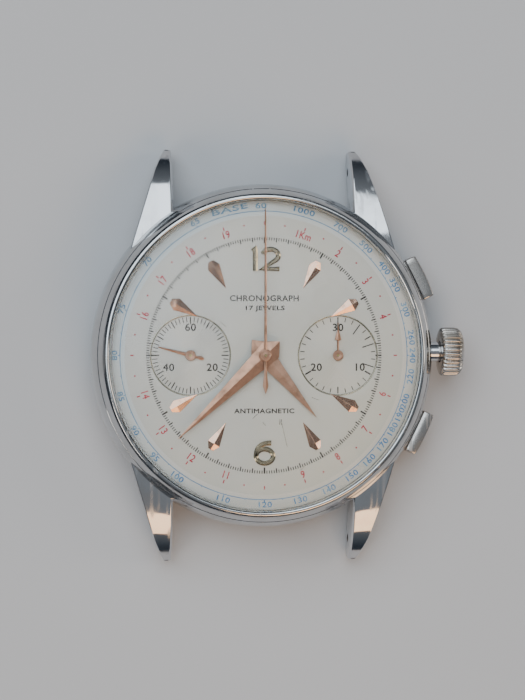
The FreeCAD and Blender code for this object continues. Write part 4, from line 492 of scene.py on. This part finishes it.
def band():
    """The ring's section carried round, with its side cut back where each pusher goes in."""
    a = np.degrees(np.linspace(0, FULL, 288, endpoint=False))
    ways, slot_floor = (PUSHER_ANGLE, 360 - PUSHER_ANGLE), 18.2
    edges = np.array([way + side * (SLOT_HALF_ANGLE + gap)
                      for way in ways for side in (-1, 1) for gap in (-0.004, 0.004)])
    a = np.sort(np.concatenate([a[np.abs((a[:, None] - edges)).min(1) > 0.3], edges]))
    slot = (np.abs(a - ways[0]) < SLOT_HALF_ANGLE) | (np.abs(a - ways[1]) < SLOT_HALF_ANGLE)
    z = np.concatenate([np.linspace(1.6, 2.22, 5), np.linspace(2.22, 4.98, 14),
                        np.linspace(4.98, 7.6, 16)])
    cut = np.concatenate([np.zeros(5), np.ones(14), np.zeros(16)])
    r = flank_radius(z)
    side = r[:, None] - (r - slot_floor)[:, None] * cut[:, None] * slot[None]
    inner = np.array([[17.56, 7.6], [17.52, 7.64], [17.52, 8.1], [17.3, 8.1], [17.3, 7.0], [15.6, 7.0],
                      [15.6, 2.9], [17.0, 2.9], [17.0, 1.6]])
    radius = np.vstack([side, np.repeat(inner[:, :1], len(a), 1)])
    height = np.repeat(np.concatenate([z, inner[:, 1]])[:, None], len(a), 1)
    t = np.radians(a)
    return patch(np.stack([radius * np.cos(t), radius * np.sin(t), height], -1), True, True)


piece("case_middle", [band()], band_steel, "case", ["case_band"], crease=24)


def horn(across, up):
    """One lug: the plan runs from the band to the tip between a straight inner line and a bent
    outer line, the top falls as the fourth power of the way out, and the inner face is a fan
    of rows from the strap bar hole to that face's own outline."""
    s = np.concatenate([np.linspace(0, 0.62, 16), np.linspace(0.64, 1, 22)])
    knots = [0, 0.62, 0.86, 1]
    inner_x, hole_y, hole_z, hole_radius = 10.0, 20.6, 1.9, .5
    inner = np.stack([np.full(len(s), inner_x), np.interp(s, knots, [15.7, 20.5, 22.0, 22.75])], -1)
    outer = np.stack([np.interp(s, knots, [14.68, 11.95, 11.3, 10.85]),
                      np.interp(s, knots, [11.6, 20.5, 22.0, 22.75])], -1)
    # share across, millimetres across, share up, millimetres up, round the section from the
    # bottom of the inner face to its top
    section = np.array([[0, 0, 0, .2], [0, .06, 0, .06], [0, .2, 0, 0], [1, -.3, 0, 0], [1, -.1, 0, .08],
                        [1, 0, 0, .3], [1, 0, 1, -.16], [1, -.02, 1, -.05], [1, -.09, 1, 0],
                        [1, -.15, 1, 0], [.5, 0, 1, 0], [0, .3, 1, 0], [0, .24, 1, 0],
                        [0, .2, 1, -.015], [0, .02, 1, -.24], [0, 0, 1, -.28]])
    share, more = section[:, 0], section[:, 1]
    plan = (inner[:, None] * (1 - share)[None, :, None] + outer[:, None] * share[None, :, None])
    x, y = plan[..., 0] + more, plan[..., 1]
    top = 6.75 - 4.35 * np.clip((y - 9) / 14.15, 0, 1) ** 4
    under = np.interp(y, [9, 17, 18.6, 19.8, 21.2, 21.95, 23.15], [2.0, 1.7, 1.25, .75, .45, .38, .75])
    z = under * (1 - section[:, 2]) + top * section[:, 2] + section[:, 3]
    skin = np.stack([x, y, z], -1)
    middle = skin[-1].mean(0)
    caps = [skin[-1], middle + (skin[-1] - middle) * 0.86 + [0, 0.14, 0],
            middle + (skin[-1] - middle) * 0.5 + [0, 0.2, 0],
            np.tile(middle + [0, 0.2, 0], (len(section), 1))]
    root = np.stack([skin[0], np.tile(skin[0].mean(0), (len(section), 1))])
    outline = np.concatenate([skin[:, 0], skin[::-1, -1]])
    heading = np.arctan2(outline[:, 2] - hole_z, outline[:, 1] - hole_y)

    def circle(radius, depth):
        """A circle about the strap bar hole, this far into the lug."""
        return np.stack([np.full(len(heading), inner_x + depth), hole_y + radius * np.cos(heading),
                         hole_z + radius * np.sin(heading)], -1)

    face = np.stack([circle(0, .7), circle(hole_radius, .7), circle(hole_radius, .05), circle(.56, 0.0),
                     outline * .35 + circle(.56, 0) * .65, outline])
    flip = np.array([across, up, 1.0])
    shapes = [patch(skin), patch(np.stack(caps), wrap_columns=True), patch(root, wrap_columns=True),
              patch(face, wrap_columns=True)]
    return [(c * flip, f) for c, f in shapes]


piece("lug_horns", [p for sx in (-1, 1) for sy in (-1, 1) for p in horn(sx, sy)], steel, "case",
      ["lugs"], crease=26)

bezel_line = eased([(17.54, 7.6), (18.35, 7.6), (18.35, 7.78), (18.24, 7.84), (18.24, 8.02), (17.86, 8.86),
                    (17.5, 9.2), (17.26, 9.24), (17.09, 9.12), (17.07, 8.12), (17.54, 8.12)],
                   [.02, .02, .05, .03, .05, .2, .1, .08, .05, .02, .02], steps=5)
piece("bezel_ring", [turned(bezel_line, steps=320)], band_steel, "case", ["bezel"], crease=20)

# the crystal's two faces are arcs of balls, through the crown of the dome and its rim
sweep = np.linspace(0, 1, 40)
outer_rim, outer_rise, outer_top = 16.98, 2.7, 11.92
inner_rim, inner_rise, inner_top = 16.75, 2.1, 10.92
outer_ball = (outer_rim ** 2 + outer_rise ** 2) / (2 * outer_rise)
inner_ball = (inner_rim ** 2 + inner_rise ** 2) / (2 * inner_rise)
out_r, in_r = outer_rim * (1 - sweep), inner_rim * sweep
crystal_line = np.concatenate([
    [(16.98, 7.44), (17.26, 7.44), (17.26, 8.07), (17.04, 8.07), (17.04, 9.12), (17.02, 9.19)],
    np.stack([out_r, outer_top - outer_ball + np.sqrt(outer_ball ** 2 - out_r ** 2)], -1),
    np.stack([in_r, inner_top - inner_ball + np.sqrt(inner_ball ** 2 - in_r ** 2)], -1),
    [(16.8, 8.76), (16.86, 8.6)]])
piece("domed_crystal", [turned(crystal_line, steps=320)], crystal_finish, "case", ["crystal"],
      crease=40)


def back():
    """The back's section carried round, with six shallow keyways in its sloping rim."""
    line = np.array([[0, .1], [9, .1], [10.7, .1], [10.85, .02], [11.0, 0], [13.8, 0], [14.1, .03],
                     [15.0, .29], [16.0, .57], [17.0, .86], [17.75, 1.08], [17.9, 1.2], [17.9, 1.6],
                     [16.98, 1.6], [16.98, 2.4], [16.4, 2.4], [16.3, 1.5], [14, .8], [0, .8]])
    a = np.linspace(0, FULL, 360, endpoint=False)
    r, z = np.repeat(line[:, :1], 360, 1), np.repeat(line[:, 1:], 360, 1)
    near = np.abs((np.degrees(a) + 30) % 60 - 30)
    keyway = np.clip((6.0 - near) / 0.8, 0, 1)
    depth = np.array([0, 0, 0, 0, 0, 0, 0, .0, .3, .32, .3, .2] + [0] * 7)
    z = z + depth[:, None] * keyway[None]
    return patch(np.stack([r * np.cos(a), r * np.sin(a), z], -1), wrap_columns=True)


piece("snap_back", [back()], back_steel, "case", ["case_back"], crease=28)


def crown():
    """A grip of rounded flutes: the radius is the profile's, less a groove that deepens by the
    cosine of thirty-two times the angle and fades out over the domed end."""
    line = np.array([[1.3, 0, 0], [1.3, 1.2, 0], [.02, 1.2, 0], [0, 1.24, 0], [0, 2.3, 0], [.03, 2.42, .3],
                     [.12, 2.6, .8], [.25, 2.69, 1], [.5, 2.72, 1], [1.0, 2.72, 1], [1.5, 2.72, 1],
                     [1.85, 2.69, 1], [2.06, 2.6, .9], [2.24, 2.45, .75], [2.38, 2.25, .55],
                     [2.47, 2.0, .25], [2.52, 1.7, .05], [2.56, 1.3, 0], [2.6, .7, 0], [2.62, 0, 0]])
    flutes, flute_depth, foot, axis_y, axis_z = 32, 0.2, 20.0, 0.4, 4.7
    a = np.linspace(0, FULL, flutes * 12, endpoint=False)
    groove = (0.5 + 0.5 * np.cos(flutes * a)) ** 2.2
    r = line[:, 1:2] - flute_depth * line[:, 2:] * groove[None]
    x = np.repeat(line[:, :1], len(a), 1) + foot
    return patch(np.stack([x, axis_y + r * np.cos(a), axis_z + r * np.sin(a)], -1), wrap_columns=True)


piece("fluted_crown", [crown()], crown_steel, "crown_and_stem", ["crown"], crease=38)


def cap(angle):
    """A pusher cap: a round bore for the spring, then a round-cornered oblong carried outward, its
    outer face bowed by the square of the distance from the middle, and a round stem."""
    y = [2.45, 2.45, 2.45, 1.6, .8, 0, -.8, -1.6, -2.45, -2.45, -2.45, -1.6, -.8, 0, .8, 1.6]
    z = [-1.3, 0, 1.3, 1.3, 1.3, 1.3, 1.3, 1.3, 1.3, 0, -1.3, -1.3, -1.3, -1.3, -1.3, -1.3]
    outline = eased(np.stack([y, z], -1), .2, 5)
    # share of the depth, inset and scale, from the middle of the inner face to the outer one
    rows = np.array([[0, .1, 1], [.03, .03, 1], [.08, 0, 1], [.5, 0, 1], [.92, 0, 1], [.96, .02, 1],
                     [.985, .055, 1], [1, .12, 1], [1, .12, .7], [1, .12, .4], [1, .12, 0]])
    flat = np.sign(outline)[None] * np.maximum(np.abs(outline)[None] - rows[:, 1, None, None], 0)
    flat = flat * rows[:, 2, None, None]
    inner_face, depth, bow, half_length = 19.15, 1.35, 0.15, 2.45
    x = inner_face + rows[:, :1] * (depth - bow * (flat[..., 0] / half_length) ** 2)
    bore = np.array([[20.0, 0], [20.0, 1], [19.17, 1], [19.15, 1.02]])
    round_way = outline / np.linalg.norm(outline, axis=1, keepdims=True)
    x = np.vstack([np.repeat(bore[:, :1], len(outline), 1), x])
    flat = np.concatenate([bore[:, 1, None, None] * round_way[None], flat])
    skin = np.stack([x, flat[..., 0], PUSHER_LEVEL + flat[..., 1]], -1)
    block = spun(patch(skin, wrap_columns=True), angle)
    stem = along_radius([(15.5, 0), (15.5, .5), (15.55, .55), (20.1, .55), (20.1, 0)], angle, PUSHER_LEVEL)
    return [block, stem]


def coil(angle, hand):
    """A return spring: a wire's circle carried along a helix of four turns about the pusher's
    line, from its seat in the band to the floor of the cap's bore."""
    turns, wire_radius, coil_radius, seat, length = 4, .09, .77, 18.09, 1.82
    t = np.linspace(0, 1, turns * 28 + 1)
    t, wire = np.concatenate([t[:1], t, t[-1:]]), np.full(len(t) + 2, wire_radius)
    wire[[0, -1]] = 0
    turn, round_wire = hand * turns * FULL * t, np.linspace(0, FULL, 10, endpoint=False)
    far = coil_radius + wire[:, None] * np.cos(round_wire)
    points = np.stack([seat + length * t[:, None] + wire[:, None] * np.sin(round_wire),
                       far * np.cos(turn)[:, None], PUSHER_LEVEL + far * np.sin(turn)[:, None]], -1)
    return spun(patch(points, wrap_columns=True), angle)


for name, angle, hand in (("start", PUSHER_ANGLE, -1), ("reset", -PUSHER_ANGLE, 1)):
    piece(name + "_pusher_cap", cap(angle), pusher_steel, name + "_pusher", [name + "_pusher"],
          crease=32)
    wound = piece(name + "_return_spring", [coil(angle, hand)], spring, "case", [name + "_spring"],
                  crease=60)
    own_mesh(wound)


# ------------------------------------------------------------------ dial

def dial_half(side):
    """Half the dial as rays from its register's middle: each ray crosses the sunk floor and the
    bevelled rim, runs to the dial's edge or its middle line, and comes back underneath."""
    reach, hole = 17.2, 0.36
    corner = math.degrees(math.atan2(reach, -REGISTER))
    a = np.unique(np.concatenate([np.linspace(-180, 180, 241)[:-1], [corner, -corner]]))
    c, s = np.cos(np.radians(a)), np.sin(np.radians(a))
    to_edge = -REGISTER * c + np.sqrt(reach ** 2 - (REGISTER * s) ** 2)
    to_line = np.where(c < -1e-9, -REGISTER / np.where(c < -1e-9, c, -1), 1e9)
    far = np.minimum(to_edge, to_line)
    q = np.array([hole, hole, 1.2, 2.4, 3.6, 4.27, 4.31, 4.40, 4.44])
    level = DIAL + np.array([-.4, -.08, -.08, -.08, -.08, -.08, -.072, -.006, 0])
    more = np.array([.1, .4, .75, 1.0, 1.0])
    q = np.concatenate([np.repeat(q[:, None], len(a), 1), 4.44 + more[:, None] * (far - 4.44)])
    z = np.concatenate([level, [DIAL] * 4, [DIAL - .4]])
    x, y = REGISTER + q * c, q * s
    grid = np.stack([x, y, np.repeat(z[:, None], len(a), 1)], -1)
    corners, faces = patch(grid, wrap_rows=True, wrap_columns=True)
    middle = corners[faces].mean(1)
    wall = (np.abs(middle[:, 0]) < 1e-6) & (middle[:, 2] < DIAL - .1) & (middle[:, 2] > DIAL - .3)
    return corners * [side, 1, 1], faces[~wall]


piece("dial_plate", [dial_half(1), dial_half(-1)], dial_finish, "case", ["dial"], crease=18)

rim_line = eased([(4.26, DIAL - .085), (4.29, DIAL - .04), (4.34, DIAL + .012), (4.40, DIAL + .02),
                  (4.45, DIAL + .01), (4.46, DIAL - .02)], .02, steps=3)
piece("register_rims", [turned(rim_line, (side * REGISTER, 0), 180) for side in (-1, 1)], rim_metal,
      "case", ["dial"], crease=50)

fifths = np.arange(300) * 1.2
every = np.arange(300)
long_one = np.where(every % 25 == 0, 0.68, np.where(every % 5 == 0, 0.52, 0.34))
bold = np.where(every % 25 == 0, 0.18, np.where(every % 5 == 0, 0.13, 0.1))
sixty, thirty = np.arange(60), np.arange(30)
left_at, right_at = (-REGISTER, 0), (REGISTER, 0)
ticks = [strokes(fifths, 12.94 - long_one, 12.94, bold),
         strokes(sixty * 6, np.where(sixty % 5 == 0, 3.4, 3.62), 4.18, np.where(sixty % 5 == 0, .13, .09),
                 left_at, SUNK),
         strokes(thirty * 12,
                 np.select([np.isin(thirty, [3, 6, 9]), thirty % 5 == 0], [2.85, 3.45], 3.7), 4.18,
                 np.select([np.isin(thirty, [10, 20]), thirty % 5 == 0, np.isin(thirty, [3, 6, 9])],
                           [.17, .13, .11], .09), right_at, SUNK)]
piece("seconds_track", ticks, black_ink, "case", ["dial"])


def print_section(inner, outer):
    """The oblong section of a printed ring, from its inner to its outer radius."""
    foot, top = DIAL - PRINT_FOOT, DIAL + PRINT_TOP
    return [(inner, foot), (outer, foot), (outer, top), (inner, top)]


def at_speed(speed):
    """The angle where a speed is printed, on a base of sixty: 21600 over the speed."""
    return 21600 / speed


speeds = [65, 70, 75, 80, 85, 90, 95, 100, 110, 120, 130, 140, 150, 160, 170, 180, 190, 200, 220, 240,
          260, 300, 350, 400, 500, 700]
between = [60, 62.5, 67.5, 72.5, 77.5, 82.5, 87.5, 92.5, 97.5, 105, 115, 125, 135, 145, 155, 165, 175,
           185, 195, 210, 230, 250, 280, 325, 375, 450, 600]
blue = [turned(print_section(15.76, 15.85), steps=360),
        strokes([at_speed(v) for v in speeds], 15.83, 16.05, .09),
        strokes([at_speed(v) for v in between], 15.83, 15.96, .08)]
piece("speed_circle", blue, blue_ink, "case", ["dial"])
speed_radius, speed_height = 16.4, 0.7
lettering("speed_numbers",
          ring_words([(str(v), at_speed(v)) for v in speeds], speed_radius, speed_height, 1.12)
          + ring_words([("BASE", 346.4)], speed_radius, speed_height, 1.9)
          + ring_words([("60", 358.6), ("1000", 15.2)], speed_radius, speed_height, 1.3),
          blue_ink, "case", ["dial"])

kilometres = np.arange(1, 21)
halves = kilometres * 18 - 9
dots = [turned(print_section(.001, .1), tuple(14.35 * compass(h)[0]), steps=10) for h in halves]
piece("distance_ticks", [strokes(kilometres * 18, 14.3, 14.68, .13)] + dots, red_ink, "case", ["dial"])
distances = [("1Km" if k == 1 else str(k), k * 18) for k in kilometres if k % 5]
lettering("distance_numbers", ring_words(distances, 13.76, 0.84, 0.82), red_ink, "case", ["dial"])
out, down, up = 2.38, -1.34, 3.02
register_digits = [("60", -REGISTER, up), ("20", -REGISTER + out, down), ("40", -REGISTER - out, down),
                   ("30", REGISTER, up), ("10", REGISTER + out, down), ("20", REGISTER - out, down)]
words = [("CHRONOGRAPH", .66, 0, 6.2, 0, 1.05, DIAL), ("17 JEWELS", .5, 0, 5.15, 0, 1.35, DIAL),
         ("ANTIMAGNETIC", .52, 0, -6.1, 0, 1.2, DIAL)]
words += [(text, .84, x, y, 0, 1.05, SUNK) for text, x, y in register_digits]
lettering("dial_words", words, black_ink, "case", ["dial"])

# dark scratches, each as x and y of its start and of its end
scratches_at = np.array([[1.8, -7.0, 2.5, -10.0], [1.62, -6.95, 1.66, -7.6], [1.66, -7.55, 1.86, -6.98],
                         [1.86, -7.0, 1.88, -7.65], [-.75, -6.4, -1.3, -6.9], [-.2, -7.3, .15, -7.7],
                         [3.9, -12.6, 4.4, -12.2], [-4.9, 3.7, -4.2, 3.1], [5.2, -4.6, 6.0, -4.9]])
start_at, reach_by = scratches_at[:, :2], scratches_at[:, 2:] - scratches_at[:, :2]
heading = 90 - np.degrees(np.arctan2(reach_by[:, 1], reach_by[:, 0]))
marks = [strokes(h, 0, np.hypot(*by), .04, tuple(at), rise=.004)
         for at, by, h in zip(start_at, reach_by, heading)]
piece("dial_scratches", marks, rim_metal, "case", ["dial"])

kites = [roof([8.5, 11.12, 11.84], [.03, .725, .3], h * 30, low=DIAL - .01, side=DIAL + .06,
              ridge=[DIAL + .09, DIAL + .32, DIAL + .2]) for h in (1, 2, 4, 5, 7, 8, 10, 11)]
piece("kite_markers", kites, marker_gold, "case", ["hour_markers"], crease=12, edge=.015)


def digit(points, at):
    """An applied numeral: a raised stroke along its points, moved to its place."""
    return ribbon(np.array(points) + np.array(at), .27, DIAL - .01, DIAL + .1, DIAL + .22)


# the two is an ellipse's arc and two straight strokes; the six is a parabola into an ellipse
turn = np.radians(np.linspace(168, -46, 22))
two = np.concatenate([np.stack([.86 * np.cos(turn), .42 + .68 * np.sin(turn)], -1),
                      [(-.86, -1.05), (.98, -1.05)]])
bowl = np.radians(np.linspace(180, 540, 34))
bend = np.linspace(0, 1, 12)[:, None]
stem = ((1 - bend) ** 2 * np.array([.72, 1.02]) + 2 * bend * (1 - bend) * np.array([-.9, 1.12])
        + bend ** 2 * np.array([-.94, -.42]))
six = np.concatenate([stem[:-1], np.stack([.94 * np.cos(bowl), -.42 + .78 * np.sin(bowl)], -1)])
one = [(-1.36, .86), (-1.05, 1.1), (-1.02, 1.0), (-1.02, -1.28)]
piece("applied_numerals", [digit(one, (0, 10.5)), digit(two, (.66, 10.5)), digit(six, (0, -10.6))],
      numeral_gold, "case", ["hour_markers"], crease=25)


# ------------------------------------------------------------------ hands

def hub(centre, rows):
    """A stepped disc on an arbor, from (radius, height) rows."""
    return turned([(0.0, rows[0][1])] + list(rows) + [(0.0, rows[-1][1])], centre, 64, closed=False)


def dauphine(angle, length, heel, half, widest, low):
    """A tapering two-faced hand: a ridged bar, widest just behind its pivot."""
    return roof([-heel, -widest, length], [.02, half, .03], angle, low=low, side=low + .05,
                ridge=[low + .06, low + .2, low + .07])


piece("hour_hand_blade", [dauphine(140.0, 8.8, 2.2, 1.15, .95, 7.75),
                          hub((0, 0), [(.9, 7.62), (1.0, 7.66), (1.0, 7.97), (.9, 8.0)])],
      gold, "hours", ["hour_hand"], crease=12, edge=.012)
piece("minute_hand_blade", [dauphine(226.3, 13.1, 2.2, 1.2, .95, 8.12),
                            hub((0, 0), [(.6, 8.06), (.72, 8.1), (.72, 8.36), (.66, 8.4)])],
      gold, "minutes", ["minute_hand"], crease=12, edge=.012)
piece("sweep_hand_needle", [
    roof([-4.2, -3.3, -2.2, -.4, .4, 8, 15.6, 16.1], [.02, .32, .17, .16, .16, .13, .085, .02], 0, low=8.54,
         side=8.59, ridge=8.66),
    hub((0, 0), [(.56, 8.5), (.62, 8.53), (.62, 8.7), (.57, 8.73), (.36, 8.73), (.34, 8.76), (.34, 8.8),
                 (.3, 8.81), (.14, 8.81), (.12, 8.74)])],
      gold, "chrono_seconds", ["chrono_seconds_hand"], crease=20)
small_hub = [(.5, 7.37), (.58, 7.4), (.58, 7.56), (.54, 7.59), (.2, 7.6), (.12, 7.58), (.11, 7.52)]
piece("small_seconds_needle", [
    roof([-1.55, -1.2, -.85, -.4, .5, 3.6, 3.7], [.05, .24, .15, .17, .2, .06, .02], 284.4, left_at, low=7.43,
         side=7.48, ridge=7.55), hub(left_at, small_hub)],
      gold, "small_seconds", ["small_seconds_hand"], crease=20)
piece("minute_counter_needle", [
    roof([.3, 1.62, 1.7, 2.75, 3.6, 3.7], [.11, .1, .38, .09, .05, .02], 0.0, right_at, low=7.43, side=7.48,
         ridge=7.55), hub(right_at, small_hub)],
      gold, "minute_counter", ["minute_counter_hand"], crease=20)


# ------------------------------------------------------------------ floor, light and camera

floor_finish, tree, shader = finish("pale_floor", Roughness=0.6)
wash = use(tree, blotches, Scale=6.0, Low=0.3, High=0.7).outputs["Mask"]
tree.links.new(blend_colour(tree, wash, (0.60, 0.62, 0.65), (0.64, 0.65, 0.67)), shader.inputs["Base Color"])
floor_half = 0.9
span = np.linspace(-floor_half, floor_half, 3)
gx, gy = np.meshgrid(span, span, indexing="ij")
corners, faces = patch(np.stack([gx, gy, np.zeros_like(gx)], -1))
mesh = bpy.data.meshes.new("floor")
mesh.from_pydata(corners.tolist(), [], faces.tolist())
mesh.materials.append(floor_finish)
floor = bpy.data.objects.new("floor", mesh)
scene.collection.objects.link(floor)

# the room is dim near the horizon and brighter overhead, so polished steel shows both
world = bpy.data.worlds.new("studio")
world.use_nodes = True
sky = world.node_tree
around = node(sky, "ShaderNodeTexCoord").outputs["Generated"]
upward = node(sky, "ShaderNodeSeparateXYZ", {0: around}).outputs[2]
glow = blend_colour(sky, spread(sky, upward, 0.1, 1.0), (0.03, 0.038, 0.05), (0.24, 0.26, 0.28))
sky.links.new(glow, sky.nodes["Background"].inputs["Color"])
scene.world = world


def softbox(name, place, size, power, colour):
    """A rectangular light that faces the watch."""
    lamp = bpy.data.lights.new(name, "AREA")
    lamp.shape, lamp.size, lamp.size_y = "RECTANGLE", *size
    lamp.energy, lamp.color = power, colour
    made = bpy.data.objects.new(name, lamp)
    made.location = place
    made.rotation_mode = "QUATERNION"
    made.rotation_quaternion = (Vector((0, 0, 0.005)) - Vector(place)).to_track_quat("-Z", "Y")
    scene.collection.objects.link(made)


softbox("window", (-0.26, 0.46, 0.9), (1.0, 1.05), 8.2, (0.84, 0.93, 1.0))
softbox("wall", (-0.8, -0.5, 0.7), (0.4, 0.4), 1.7, (1.0, 0.93, 0.85))
softbox("room", (0.24, -0.64, 0.66), (0.62, 0.46), 2.6, (1.0, 0.62, 0.34))
softbox("lamp", (0.8, 0.1, 0.42), (0.3, 0.5), 1.3, (1.0, 0.9, 0.78))

aim = Vector((-0.00027, 0.00059, 0.008))
lean, distance, half_view = math.radians(6.0), 0.235, 0.03835
eye = aim + distance * Vector((-math.sin(lean), 0, math.cos(lean)))
lens = bpy.data.cameras.new("camera")
lens.sensor_width, lens.lens = 36.0, 18.0 * distance / half_view
lens.clip_start, lens.clip_end = 0.01, 10.0
camera = bpy.data.objects.new("camera", lens)
camera.location = eye
camera.rotation_mode = "QUATERNION"
back_way = (eye - aim).normalized()
right_way = Vector((0, 1, 0)).cross(back_way).normalized()
up_way = back_way.cross(right_way)
camera.rotation_quaternion = Matrix((right_way, up_way, back_way)).transposed().to_quaternion()
scene.collection.objects.link(camera)
scene.camera = camera
